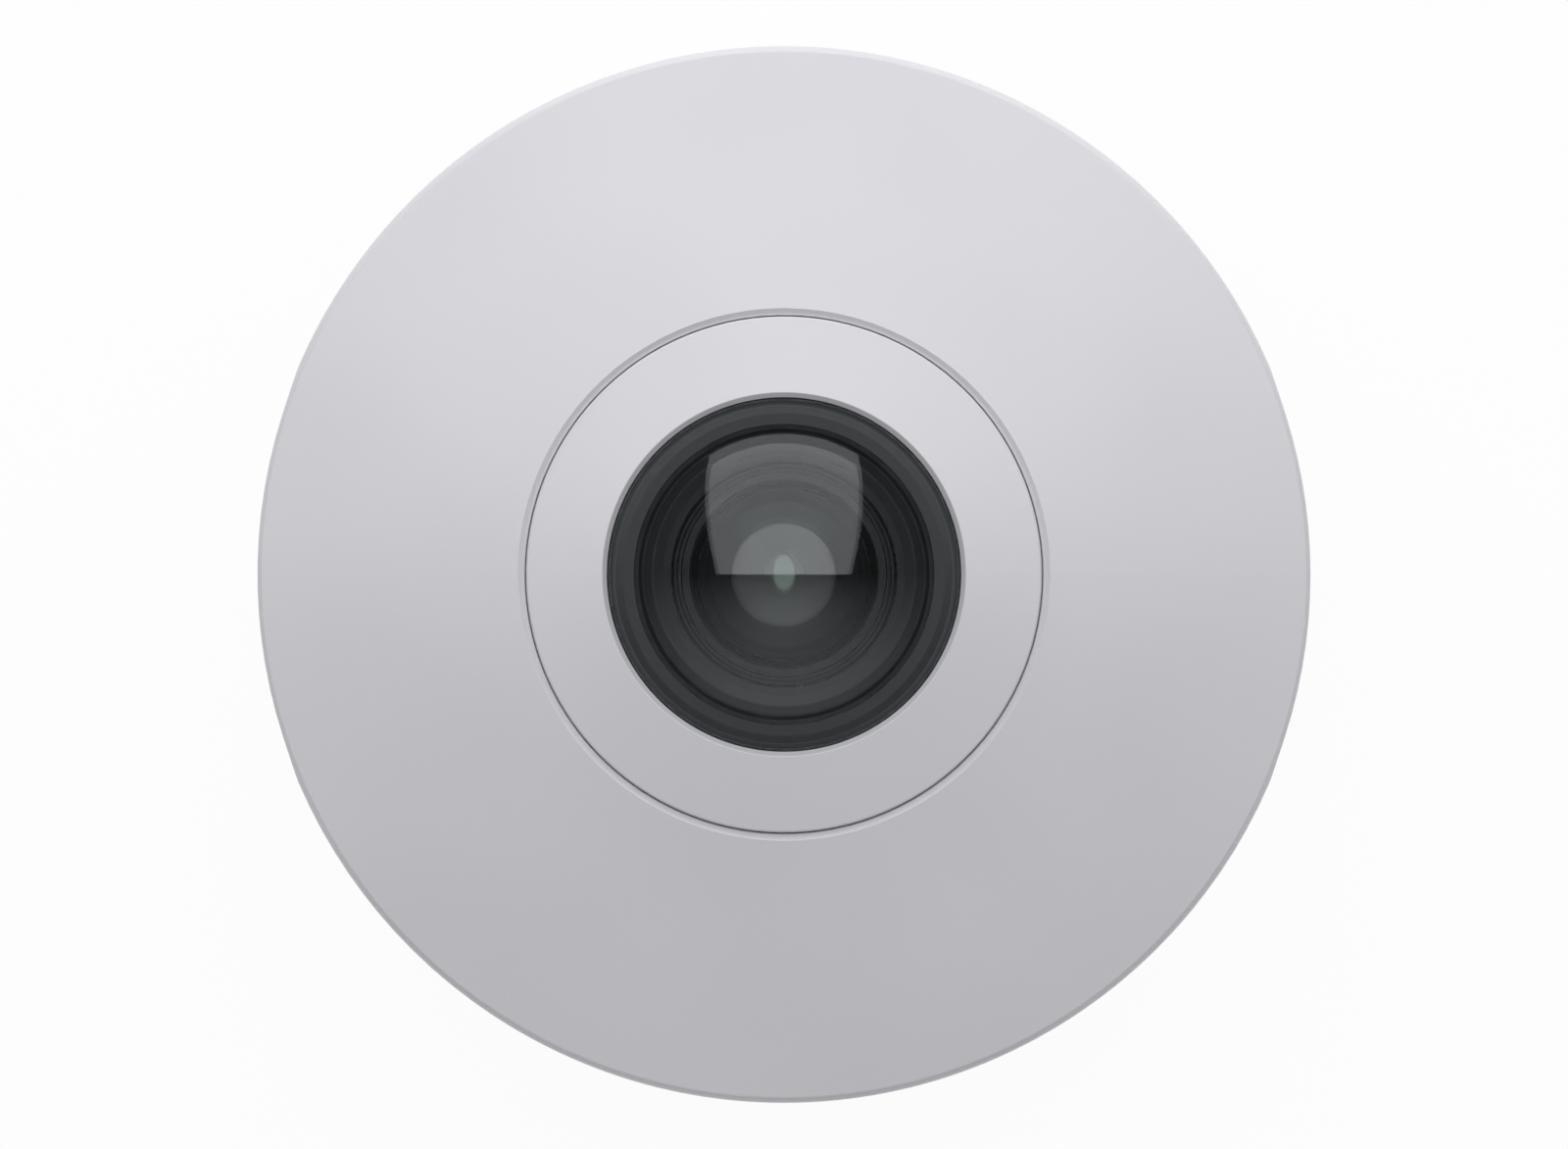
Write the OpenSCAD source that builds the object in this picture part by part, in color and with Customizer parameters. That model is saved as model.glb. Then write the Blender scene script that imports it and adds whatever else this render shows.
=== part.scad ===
// Compact indoor fisheye network camera, resting on its mounting face with the lens up.
// The origin is the centre of the mounting face and +Z is the optical axis.

/* [Cover] */
// Outer diameter of the cover
cover_d = 101; // [100:0.5:106]
// Height of the cover's upright side wall
wall_h = 34; // [33:0.2:42]
// Wall thickness of the cover
cover_t = 2; // [1.6:0.1:2.2]
// Slope of the conical face in degrees
face_slope = 14; // [12:1:16]
// Radius of the rim's outer round
rim_round = 2; // [1.4:0.1:2.4]
// Radius of the fold between that round and the conical face
rim_fold = 0.35; // [0.2:0.05:0.8]
// Depth of the finger grips at the rim
grip_depth = 0.22; // [0.1:0.02:0.5]
// Angle taken by each finger grip in degrees
grip_angle = 36; // [20:1:44]
// Taper of the finger grips in degrees
grip_taper = 1.4; // [0.5:0.1:1.6]

/* [Centre ring and window] */
// Radius of the centre ring at the parting groove
ring_r = 24.5; // [24.2:0.1:25.4]
// Radius of the window opening in the centre ring
window_r = 17.3; // [17.1:0.1:17.8]
// Radius of the dome's outer surface
dome_r = 19; // [18:0.5:22]
// Radius of the dome where it comes out of the bezel
dome_edge_r = 14.15; // [14:0.05:14.6]
// Wall thickness of the dome
dome_t = 1.5; // [1.2:0.1:1.8]

/* [Lens] */
// Radius of the lens head
lens_head_r = 10.4; // [10:0.1:10.9]
// Radius of the front element
front_r = 8.65; // [8.4:0.05:9]
// Radius of the front element's outer surface
front_curve_r = 11; // [10.4:0.1:12.4]
// Radius of the opening over the second element
inner_stop_r = 5.1; // [4.6:0.1:5.6]
// Radius of the lens thread
thread_r = 6; // [5.6:0.1:6.2]
// Height from the sensor board to the top of the lens ring
lens_track = 13.6; // [13:0.1:14.4]

/* [Mounting] */
// Room between the cover's side wall and the mounting plate
plate_room = 3.5; // [2.9:0.1:3.7]
// Thickness of the mounting plate
plate_t = 2.5; // [2:0.1:2.8]
// Diameter of the circle through the mounting screws
screw_circle_d = 60; // [56:1:62]
// Radius of the mounting screw holes
screw_hole_r = 2.25; // [1.8:0.05:2.5]
// Radius of the cable hole in the mounting plate
cable_hole_r = 8; // [6:0.5:8]
// Angle that the camera turns to leave the mounting plate, in degrees
twist = 20; // [18:1:24]

/* [Circuit boards] */
// Radius of the main board
board_r = 34.5; // [34:0.1:35]
// Thickness of the main board
board_t = 1.6; // [1:0.1:1.6]
// Length of the memory card
card_l = 15; // [14:0.5:16]
// Diameter of the control button's cap
button_d = 3.6; // [3:0.1:4.4]

/* [Hidden] */

$fn = 96;

// Overrun of every cut
over = 1;
// Running gap between pieces that move past each other
gap = 0.3;
// Close gap between round pieces that stay together
fit = 0.05;

// Cover
cover_r = cover_d / 2;
base_gap = 0.6;
wall_top = base_gap + wall_h;
cover_in = cover_r - cover_t;
rim_turn = 40;
fold_c = [cover_r - rim_round, wall_top] + (rim_round - rim_fold) * [cos(rim_turn), sin(rim_turn)];
edge_gap = 0.15;
edge_r = ring_r + edge_gap;
groove_w = 0.25;
groove_t = 0.4;
groove_bevel = 0.4;
lap_t = 0.9;
lap_w = 2.8;
ribs = 12;
rib_first = 15;
rib_w = 1.2;
rib_drop = 6;
rib_top = wall_top - rib_drop;
foot_bevel = 0.4;

// Height of the conical face at a radius
function face_z(r) = fold_c.y + (rim_fold - (r - fold_c.x) * sin(face_slope)) / cos(face_slope);
// Points along an arc, from one angle to another
function arc(c, r, from, to, steps = 8) =
    [for (i = [0:steps]) let (a = from + (to - from) * i / steps) c + r * [cos(a), sin(a)]];

// Window stack, from the face down
ring_z = face_z(window_r);
ring_chamfer = 0.5;
ring_chamfer_h = 0.25;
ring_bore = window_r - ring_chamfer;
bezel_drop = 0.9;
bezel_h = 1.3;
flange_t = 1;
gasket_t = 0.7;
bezel_z = ring_z - bezel_drop;
flange_z = bezel_z - bezel_h;
seat_z = flange_z - flange_t - gasket_t;
dome_c = bezel_z - sqrt(dome_r * dome_r - dome_edge_r * dome_edge_r);
bezel_r = ring_bore - gap;
flange_r = bezel_r - 0.4 * bezel_h;
gasket_in = flange_r - 1.6 * gasket_t;
seat_in = gasket_in - gasket_t;
seat_t = 2;

// Lens
lens_drop = 0.6;
lens_z = seat_z - lens_drop;
head_h = 6;
ring_step = 1;
step_drop = 0.6;
head_low = lens_z - head_h;
sensor_top = lens_z - lens_track;
ring_in = front_r + fit;
ring_band = 0.95;
ring_bevel = 0.15;
front_h = 1.7;
front_low = lens_z - front_h;
front_sink = 0.3;
front_c = lens_z - front_sink - sqrt(front_curve_r * front_curve_r - front_r * front_r);
front_t = 1;
hollow_less = 2.2;
hollow_r = front_curve_r - hollow_less;
hollow_c = front_c + front_curve_r - front_t - hollow_r;
second_air = 1.9;
second_t = 2.2;
second_r = 6.85;
second_top = front_low - second_air;
second_low = second_top - second_t;
spacer_wall = 0.4;
rear_r = 3.6;
rear_sag = 0.5;
rear_cap_r = 2;
rear_curve_r = 2.6;

// Cover's spring clips and the shutter over the side cable exit
tray_gap = 1.7;
spring_t = 0.3;
spring_bow = tray_gap - spring_t - gap;
spring_angle = 5;
spring_h = 7;
exit_turn = -90;
exit_w = 13;
exit_h = 10;
shutter_t = 1.3;
shutter_angle = 11;
shutter_h = 11.2;
rail_slack = 0.5;
rail_wide = 2;
rail_lap = 2;
rail_h = 22;

// Mounting plate and its hooks
screws = 3;
hooks = 3;
hook_first = 90;
hook_angle = 8;
plate_r = cover_in - plate_room;
hook_inset = 6;
hook_r = plate_r - hook_inset;
hook_t = 1.6;
lip_w = 2.5;
lip_t = 1.5;
cable_y = 33;
slot_angle = 28;
slot_in = 16;
slot_w = 6;

// Chassis
floor_gap = 0.5;
floor_z = plate_t + floor_gap;
floor_t = 2;
floor_top = floor_z + floor_t;
chassis_r = cover_in - tray_gap;
rim_t = 1.6;
rim_h = 10;
exit_angle = 16;
turn_slack = 1.5;
lip_z = floor_top + gap;
screw_relief_r = 2.1 * screw_hole_r;
boss_r = 2.6;
boss_h = 2.6;
boss_shares = [[-0.84, -0.09], [-0.38, -0.52], [0.42, -0.49], [0.35, 0.725]];
pilot_r = 0.9;
post_r = 3.2;
post_room = 5;
post_at = board_r - post_room;
post_first = 90;
posts = 3;
lock_shank = 1.25;
lock_at = plate_r - 2 * lock_shank;
lock_turn = 45;

// Main board
board_z = floor_top + boss_h;
board_top = board_z + board_t;
notch_w = 24;
notch_y = 0.64 * board_r;
head_r = 2.2;
head_t = 1.5;
shank_r = 0.8;

// Network jack
jack_w = 16;
jack_l = 21.3;
jack_h = 13.4;
jack_wall = 0.8;
jack_front = 15;
socket_w = 11.8;
socket_h = 8;
socket_l = 14;
socket_z = 2.6;
latch_w = 6.2;
latch_h = 1.6;
pins = 8;
pin_pitch = 1.02;
pin_w = 0.4;

// Components
chip_w = 0.4 * board_r;
chip_t = 1.2;
chip_shares = [-0.535, -0.03];
pad_t = 0.5;
sink_h = 7;
sink_base = 1.6;
fins = 7;
fin_t = 0.9;
memory_w = 0.23 * board_r;
memory_t = 1;
memory_shares = [[-0.46, 0.32], [-0.73, 0.3]];
transformer_w = 0.34 * board_r;
transformer_d = 0.29 * board_r;
transformer_h = 8;
transformer_shares = [-0.39, 0.65];
can_r = 0.09 * board_r;
can_h = 6.6;
can_shares = [[0.61, 0.58], [0.73, 0.35], [-0.7, 0.52]];
coil_w = 0.17 * board_r;
coil_h = 3.2;
coil_shares = [[0.4, 0.38], [-0.58, -0.64]];
slot_x = 0.32 * board_r;
slot_l = 14;
slot_d = 12.8;
slot_h = 1.9;
slot_skin = 0.3;
card_w = 11;
card_t = 1;
button_shares = [0.5, -0.7];
switch_w = 0.17 * board_r;
switch_h = 3.4;
button_h = 2.2;
button_travel = 0.4;
led_shares = [0.7, -0.62];
led_w = 1.6;
led_d = 0.9;
led_t = 0.7;
flex_y = 0.55 * board_r;
flex_w = 9;
flex_t = 0.25;
plug_w = 11;
plug_d = 3;
plug_h = 1.6;

// Front housing
skirt_t = 1.8;
foot_t = 2.6;
foot_r = 3.6;
inner_posts = 4;
inner_post_first = 45;
inner_post_at = 17.7;
inner_post_r = 2.3;

// Sensor and lens holder
sensor_w = 30;
sensor_t = 1.2;
sensor_corner = 3;
chip_sensor_w = 9;
chip_sensor_t = 1.5;
active_w = 6.4;
filter_w = 7.4;
filter_t = 0.4;
holder_w = 20;
holder_base = 1.8;
sensor_plug_y = sensor_w / 2 - 2 * plug_d / 3;
holder_tube = 2;
holder_h = head_low - ring_step - gap - sensor_top;

// Colours
shell_grey = "#dddee2";
black = "#26282a";
board_green = "#1d5a3a";
steel = "#b9bcc0";

// A ring between two radii, cut to a sector
module sector(inner, outer, low, high, from, to) {
    rotate([0, 0, from])
        rotate_extrude(angle = to - from)
            translate([inner, low]) square([outer - inner, high - low]);
}

// Copies around the axis
module around(count, first = 0, at = 0) {
    for (i = [0:count - 1]) rotate([0, 0, first + 360 * i / count]) translate([at, 0, 0]) children();
}

// Copies at places given as shares of the main board's radius
module on_board(places, z) {
    for (p = places) translate([p.x * board_r, p.y * board_r, z]) children();
}

// A block centred in X and Y that stands on its base
module block(w, d, h) {
    translate([-w / 2, -d / 2, 0]) cube([w, d, h]);
}

// A pan-head screw whose head sits at the origin with its shank down
module pan_screw(r, t, shank, length) {
    slot_t = t / 3;
    difference() {
        union() {
            rotate_extrude()
                polygon(concat([[0, 0], [r, 0]], arc([r - t / 2, t / 2], t / 2, 0, 90, 5), [[0, t]]));
            translate([0, 0, -length]) cylinder(r = shank, h = length + t / 2);
        }
        for (a = [0, 90]) rotate([0, 0, a])
            translate([-r * 0.6, -slot_t / 2, t * 0.45]) cube([r * 1.2, slot_t, t]);
    }
}

// Moulded plate that is screwed to the ceiling: hooks hold the camera, holes pass screws and cable
module mounting_plate() {
    stiff_t = 0.6 * plate_t;
    color("#c9cbcf") difference() {
        union() {
            cylinder(r = plate_r, h = plate_t);
            around(hooks, hook_first) {
                sector(hook_r, hook_r + hook_t, plate_t / 2, lip_z + lip_t, -hook_angle, hook_angle);
                sector(hook_r - lip_w, hook_r + hook_t, lip_z, lip_z + lip_t, -hook_angle, hook_angle);
            }
        }
        around(screws, 0, screw_circle_d / 2)
            translate([0, 0, -over]) cylinder(r = screw_hole_r, h = plate_t + 2 * over);
        translate([0, -cable_y, -over]) cylinder(r = cable_hole_r, h = plate_t + 2 * over);
        around(screws, 180 / screws)
            sector(slot_in, slot_in + slot_w, -over, plate_t + over, -slot_angle, slot_angle);
        rotate_extrude()
            translate([plate_r - stiff_t, plate_t]) rotate(45)
                square(stiff_t);
    }
}

// Base tray of the camera: turns under the plate's hooks and carries both boards
module chassis() {
    riser_in = hook_r - gap;
    riser_out = hook_r + hook_t + 2 * gap;
    lip_in = hook_r - lip_w - 2 * gap;
    rim_in = chassis_r - rim_t;
    rib_t = rim_t / 2;
    color("#3a3d40") difference() {
        union() {
            rotate_extrude() polygon([
                [0, floor_z], [chassis_r, floor_z], [chassis_r, floor_z + rim_h],
                [rim_in, floor_z + rim_h], [rim_in, floor_top], [0, floor_top]]);
            on_board(boss_shares, floor_z + floor_t / 2) cylinder(r = boss_r, h = boss_h + floor_t / 2);
            around(posts, post_first, post_at) {
                translate([0, 0, floor_z + floor_t / 2])
                    cylinder(r = post_r, h = sensor_top - floor_z - floor_t / 2);
                for (a = [0, 180]) rotate([0, 0, a])
                    translate([0, -rib_t / 2, floor_z + floor_t / 2])
                        cube([post_r + 2 * rib_t, rib_t, boss_h - 2 * gap + floor_t / 2]);
            }
            around(posts)
                translate([rim_in - 3 * rib_t, -rib_t / 2, floor_z + floor_t / 2])
                    cube([4 * rib_t, rib_t, rim_h - floor_t]);
        }
        around(hooks, hook_first) {
            sector(riser_in, riser_out, floor_z - over, floor_top + over,
                -twist - hook_angle - turn_slack, hook_angle + turn_slack);
            sector(lip_in, riser_out + over, floor_z - over, floor_top + over,
                -twist - hook_angle - 2 * turn_slack, -twist + hook_angle + turn_slack);
        }
        around(screws, 0, screw_circle_d / 2)
            translate([0, 0, floor_z - over]) cylinder(r = screw_relief_r, h = floor_t + 2 * over);
        translate([0, -cable_y, floor_z - over]) cylinder(r = cable_hole_r, h = floor_t + 2 * over);
        on_board(boss_shares, floor_top) cylinder(r = pilot_r, h = boss_h + over);
        around(posts, post_first, post_at)
            translate([0, 0, sensor_top - 3 * post_r]) cylinder(r = pilot_r, h = 3 * post_r + over);
        rotate([0, 0, lock_turn]) translate([lock_at, 0, floor_z - over])
            cylinder(r = lock_shank + fit, h = floor_t + 2 * over);
        sector(rim_in - gap, chassis_r + over, floor_z - over, floor_z + rim_h + over,
            exit_turn - exit_angle, exit_turn + exit_angle);
    }
}

// Screw that clamps the camera against the mounting plate
module lock_screw() {
    length = floor_top - plate_t - gap;
    color(steel) rotate([0, 0, lock_turn]) translate([lock_at, 0, floor_top])
        pan_screw(1.6 * lock_shank, head_t, lock_shank, length);
}

// Bowed leaf springs on the tray's rim that hold the cover
module cover_springs() {
    low = floor_z + (rim_h - spring_h) / 2;
    mid = low + spring_h / 2;
    function bow(z) = spring_bow * (1 + cos(360 * (z - mid) / spring_h)) / 2;
    steps = 12;
    color(steel) around(posts, post_first)
        rotate([0, 0, -spring_angle]) rotate_extrude(angle = 2 * spring_angle)
            polygon(concat(
                [for (i = [0:steps]) let (z = low + spring_h * i / steps) [chassis_r + spring_t + bow(z), z]],
                [for (i = [steps:-1:0]) let (z = low + spring_h * i / steps) [chassis_r + bow(z), z]]));
}

// Round main board with a notch for the cable and holes for the tray's posts
module main_board() {
    color(board_green) difference() {
        translate([0, 0, board_z]) cylinder(r = board_r, h = board_t);
        translate([-notch_w / 2, -board_r - over, board_z - over])
            cube([notch_w, board_r - notch_y + over, board_t + 2 * over]);
        around(posts, post_first, post_at)
            translate([0, 0, board_z - over]) cylinder(r = post_r + gap, h = board_t + 2 * over);
        on_board(boss_shares, board_z - over) cylinder(r = shank_r + fit, h = board_t + 2 * over);
    }
}

module board_screws() {
    color(steel) on_board(boss_shares, board_top)
        pan_screw(head_r, head_t, shank_r, board_t + boss_h - gap);
}

// Shielded network socket that faces the cable exit
module network_jack() {
    color(steel) translate([0, -jack_front, board_top]) difference() {
        translate([-jack_w / 2, 0, 0]) cube([jack_w, jack_l, jack_h]);
        translate([-socket_w / 2, -over, socket_z]) cube([socket_w, socket_l + over, socket_h]);
        translate([-latch_w / 2, -over, socket_z + socket_h - over])
            cube([latch_w, socket_l + over, latch_h + over]);
        for (s = [-1, 1]) {
            translate([s * jack_w / 2, jack_l / 3, jack_h / 2])
                block(jack_wall, jack_l / 5, jack_h / 6);
            translate([s * (socket_w + latch_w) / 4, -over, jack_h - 2 * jack_wall])
                rotate([-90, 0, 0]) cylinder(r = jack_wall, h = over + jack_wall);
        }
    }
}

// Sprung contacts that slope across the socket
module jack_contacts() {
    run = socket_l / 2;
    color("#d8b45a") for (i = [0:pins - 1])
        translate([(i - (pins - 1) / 2) * pin_pitch + pin_w / 2, -jack_front, board_top + socket_z])
            rotate([90, 0, -90]) linear_extrude(pin_w)
                polygon([[-socket_l, 0], [-socket_l + pin_w, 0],
                    [-socket_l + run, socket_h / 3], [-socket_l + run, socket_h / 3 + pin_w],
                    [-socket_l + run - pin_w, socket_h / 3 + pin_w], [-socket_l, 2 * pin_w]]);
}

module processor() {
    color(black) on_board([chip_shares], board_top) block(chip_w, chip_w, chip_t);
}

module thermal_pad() {
    color("#9fb4c4") on_board([chip_shares], board_top + chip_t) block(chip_w, chip_w, pad_t);
}

// Finned heat sink on the processor
module heat_sink() {
    pitch = (chip_w - fin_t) / (fins - 1);
    color("#8d9195") on_board([chip_shares], board_top + chip_t + pad_t) {
        block(chip_w, chip_w, sink_base);
        for (i = [0:fins - 1])
            translate([-chip_w / 2 + i * pitch, -chip_w / 2, sink_base / 2])
                cube([fin_t, chip_w, sink_h - sink_base / 2]);
    }
}

module memory_chips() {
    color(black) on_board(memory_shares, board_top) block(memory_w, memory_w * 0.8, memory_t);
}

// Power transformer: a ferrite core around a wound bobbin
module power_transformer() {
    core = transformer_w / 4;
    color("#4a4d50") on_board([transformer_shares], board_top) {
        for (s = [-1, 1]) translate([s * (transformer_w - core) / 2, 0, 0])
            block(core, transformer_d, transformer_h);
        for (z = [0, transformer_h - core / 2]) translate([0, 0, z])
            block(transformer_w - core, transformer_d, core / 2);
        translate([0, -transformer_d / 2 + core / 4, transformer_h / 2])
            rotate([-90, 0, 0])
                cylinder(r = (transformer_h - core) / 2 + fit, h = transformer_d - core / 2);
    }
}

module capacitors() {
    lip = can_r / 8;
    color("#7f858c") on_board(can_shares, board_top)
        rotate_extrude() polygon([
            [0, 0], [can_r, 0], [can_r, lip], [can_r - lip, 2 * lip], [can_r, 3 * lip],
            [can_r, can_h - lip], [can_r - lip, can_h], [0, can_h]]);
}

module inductors() {
    cut = coil_w / 8;
    color("#3d3f42") on_board(coil_shares, board_top) difference() {
        block(coil_w, coil_w, coil_h);
        translate([0, 0, coil_h - cut]) difference() {
            cylinder(r = 0.42 * coil_w, h = 2 * cut);
            translate([0, 0, -over]) cylinder(r = 0.2 * coil_w, h = 2 * cut + 2 * over);
        }
    }
}

// Metal shell of the card slot, open towards the board's edge
module card_slot() {
    color(steel) translate([slot_x, 0, board_top]) difference() {
        translate([0, -slot_d / 2, 0]) cube([slot_l, slot_d, slot_h]);
        translate([slot_skin, -card_w / 2 - gap, slot_skin])
            cube([slot_l, card_w + 2 * gap, slot_h - 2 * slot_skin]);
        translate([slot_l, 0, slot_h / 2]) cylinder(r = slot_d / 5, h = slot_h);
    }
}

// Memory card with its thumb ridge
module memory_card() {
    nose = card_w / 8;
    x0 = slot_x + slot_skin + gap;
    z0 = board_top + slot_h / 2 - card_t / 2;
    color(black) translate([x0, 0, z0]) {
        linear_extrude(0.7 * card_t)
            polygon([[0, -card_w / 2 + nose], [nose, -card_w / 2], [card_l, -card_w / 2],
                [card_l, card_w / 2], [0, card_w / 2]]);
        translate([card_l - card_t, -card_w / 2, 0]) cube([card_t, card_w, card_t]);
    }
}

// Body of the push switch
module button_switch() {
    color("#55585c") on_board([button_shares], board_top) difference() {
        block(switch_w, switch_w, switch_h);
        translate([0, 0, switch_h - button_travel - gap])
            cylinder(r = button_d / 2 + gap / 2, h = switch_h);
    }
}

// Sprung cap of the push switch
module control_button() {
    low = switch_h - gap / 2;
    round_r = button_d / 8;
    color(black) on_board([button_shares], board_top + low) rotate_extrude()
        polygon(concat([[0, 0], [button_d / 2, 0]],
            arc([button_d / 2 - round_r, button_h - round_r], round_r, 0, 90, 5), [[0, button_h]]));
}

module status_led() {
    color("#e8efe4") on_board([led_shares], board_top) {
        block(led_w, led_d, led_t / 2);
        translate([0, 0, led_t / 2]) block(0.7 * led_w, led_d, led_t / 2);
    }
}

// Connectors at both ends of the flat cable
module flex_connectors() {
    color("#efece0") {
        translate([0, flex_y, board_top]) block(plug_w, plug_d, plug_h);
        translate([0, sensor_plug_y, sensor_top - sensor_t - plug_h]) block(plug_w, plug_d, plug_h);
    }
}

// Flat cable that joins the two boards in one S curve
module flex_cable() {
    start = [plug_d / 2 - flex_y, board_top + plug_h / 2];
    stop = [-sensor_plug_y - plug_d / 2, sensor_top - sensor_t - plug_h / 2];
    reach = [(stop.y - start.y) / 2, 0];
    steps = 16;
    function mid(t) = pow(1 - t, 3) * start + 3 * t * pow(1 - t, 2) * (start + reach)
        + 3 * t * t * (1 - t) * (stop - reach) + pow(t, 3) * stop;
    function along(t) = mid(t + 0.01) - mid(t - 0.01);
    function side(t, s) = let (d = along(t)) mid(t) + s * flex_t / 2 * [-d.y, d.x] / norm(d);
    color("#d8d2b8") translate([flex_w / 2, 0, 0]) rotate([90, 0, -90]) linear_extrude(flex_w)
        polygon(concat([for (i = [0:steps]) side(i / steps, 1)],
            [for (i = [steps:-1:0]) side(i / steps, -1)]));
}

// Fixed centre of the face: conical ring, window seat, skirt and three screw feet
module front_housing() {
    ledge_out = edge_r + lap_w - gap;
    function under(r) = face_z(r) - lap_t - gap;
    ledge_low = under(ledge_out) - lap_t;
    color(shell_grey) difference() {
        union() {
            rotate_extrude() polygon([
                [ring_bore, ring_z - ring_chamfer_h], [window_r, ring_z],
                [ring_r - edge_gap, face_z(ring_r - edge_gap)],
                [ring_r, face_z(ring_r) - edge_gap], [ring_r, under(ring_r)],
                [ledge_out, under(ledge_out)], [ledge_out, ledge_low],
                [ring_r, ledge_low - lap_w], [ring_r, sensor_top],
                [ring_r - skirt_t, sensor_top], [ring_r - skirt_t, seat_z - seat_t - skirt_t],
                [ring_r - 2 * skirt_t, seat_z - seat_t], [seat_in, seat_z - seat_t],
                [seat_in, seat_z], [ring_bore, seat_z]]);
            around(posts, post_first) {
                translate([post_at, 0, sensor_top]) cylinder(r = foot_r, h = foot_t);
                translate([ring_r - skirt_t / 2, -foot_r, sensor_top])
                    cube([post_at - ring_r + skirt_t / 2, 2 * foot_r, foot_t]);
                for (s = [-1, 1]) translate([0, s * (foot_r - rib_w / 2) + rib_w / 2, sensor_top])
                    rotate([90, 0, 0]) linear_extrude(rib_w)
                        polygon([[ring_r - skirt_t / 2, foot_t / 2], [post_at, foot_t / 2],
                            [ring_r, 3 * foot_t], [ring_r - skirt_t / 2, 3 * foot_t]]);
            }
            around(inner_posts, inner_post_first, inner_post_at)
                translate([0, 0, sensor_top])
                    cylinder(r = inner_post_r, h = seat_z - seat_t / 2 - sensor_top);
        }
        around(posts, post_first, post_at) {
            translate([0, 0, sensor_top - over]) cylinder(r = shank_r + fit, h = foot_t + 2 * over);
            translate([0, 0, sensor_top + foot_t]) cylinder(r = head_r + gap, h = 3 * foot_t);
        }
        around(inner_posts, inner_post_first, inner_post_at)
            translate([0, 0, sensor_top - over]) cylinder(r = pilot_r, h = 3 * inner_post_r + over);
    }
}

module housing_screws() {
    color(steel) around(posts, post_first, post_at)
        translate([0, 0, sensor_top + foot_t]) pan_screw(head_r, head_t, shank_r, 2 * foot_t + post_r);
}

module sensor_board() {
    w = sensor_w / 2;
    c = sensor_corner;
    color(board_green) translate([0, 0, sensor_top - sensor_t]) difference() {
        linear_extrude(sensor_t)
            polygon([[w - c, -w], [w, c - w], [w, w - c], [w - c, w],
                [c - w, w], [-w, w - c], [-w, c - w], [c - w, -w]]);
        around(inner_posts, inner_post_first, inner_post_at)
            translate([0, 0, -over]) cylinder(r = shank_r + fit, h = sensor_t + 2 * over);
    }
}

module sensor_screws() {
    color(steel) around(inner_posts, inner_post_first, inner_post_at)
        translate([0, 0, sensor_top - sensor_t]) mirror([0, 0, 1])
            pan_screw(0.85 * head_r, 0.7 * head_t, shank_r, sensor_t + 2 * inner_post_r);
}

module image_sensor() {
    recess = chip_sensor_t / 5;
    color("#5d5a66") translate([0, 0, sensor_top]) difference() {
        block(chip_sensor_w, chip_sensor_w, chip_sensor_t);
        translate([0, 0, chip_sensor_t - recess]) block(active_w, active_w, 2 * recess);
    }
}

module infrared_filter() {
    color("#8fd0c0") translate([0, 0, sensor_top + chip_sensor_t]) block(filter_w, filter_w, filter_t);
}

// Threaded holder that stands over the sensor
module lens_holder() {
    tube_r = thread_r + holder_tube;
    room = chip_sensor_t + filter_t + gap;
    color(black) translate([0, 0, sensor_top]) difference() {
        union() {
            linear_extrude(holder_base + room) square(holder_w, center = true);
            cylinder(r = tube_r, h = holder_h);
            for (a = [0, 90]) rotate([0, 0, a])
                translate([-holder_w / 2, -rib_w / 2, 0]) cube([holder_w, rib_w, holder_h * 0.75]);
        }
        translate([0, 0, -over]) block(chip_sensor_w + 2 * gap, chip_sensor_w + 2 * gap, room + over);
        cylinder(r = thread_r + fit, h = holder_h + over);
    }
}

// Stepped lens barrel: thread below, wide head above
module lens_barrel() {
    low = sensor_top + chip_sensor_t + filter_t + 2 * gap;
    neck = thread_r + 0.5 * holder_tube;
    top = lens_z - ring_step;
    knurls = 48;
    notch = 0.3;
    color(black) difference() {
        rotate_extrude() polygon([
            [rear_r + fit, low], [thread_r, low], [thread_r, head_low - ring_step],
            [neck, head_low - ring_step], [neck, head_low], [lens_head_r - notch, head_low],
            [lens_head_r, head_low + notch], [lens_head_r, top], [front_r + fit, top],
            [front_r + fit, front_low], [second_r + 2 * spacer_wall, front_low],
            [second_r + 2 * spacer_wall, second_low], [rear_r + fit, second_low]]);
        around(knurls, 0, lens_head_r)
            translate([0, 0, head_low + 2 * notch]) rotate([0, 0, 45])
                translate([-notch / 2, -notch / 2, 0]) cube([notch, notch, head_h / 2]);
    }
}

// Front element: a deep meniscus
module front_element() {
    color("#b9c7cf", 0.5) difference() {
        intersection() {
            translate([0, 0, front_c]) sphere(r = front_curve_r);
            translate([0, 0, front_low]) cylinder(r = front_r, h = 2 * front_curve_r);
        }
        translate([0, 0, hollow_c]) sphere(r = hollow_r);
    }
}

// Threaded ring that holds the front element
module lens_ring() {
    step_z = lens_z - step_drop + ring_bevel;
    color(black) rotate_extrude() polygon([
        [lens_head_r, lens_z - ring_step], [lens_head_r, step_z - ring_bevel],
        [lens_head_r - ring_bevel, step_z], [ring_in + ring_band, step_z],
        [ring_in + ring_band - ring_bevel, lens_z], [ring_in + ring_bevel, lens_z],
        [ring_in, lens_z - ring_bevel], [ring_in, lens_z - ring_step]]);
}

// Blackened spacer whose slope leads down to the second element
module lens_spacer() {
    rim_r = second_r + 2 * spacer_wall - fit;
    color(black) rotate_extrude() polygon([
        [rim_r, second_top + fit], [rim_r, front_low], [rim_r - spacer_wall, front_low],
        [rim_r - 2 * spacer_wall, front_low - spacer_wall],
        [inner_stop_r, second_top + 0.9 * spacer_wall], [inner_stop_r, second_top + fit]]);
}

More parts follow.
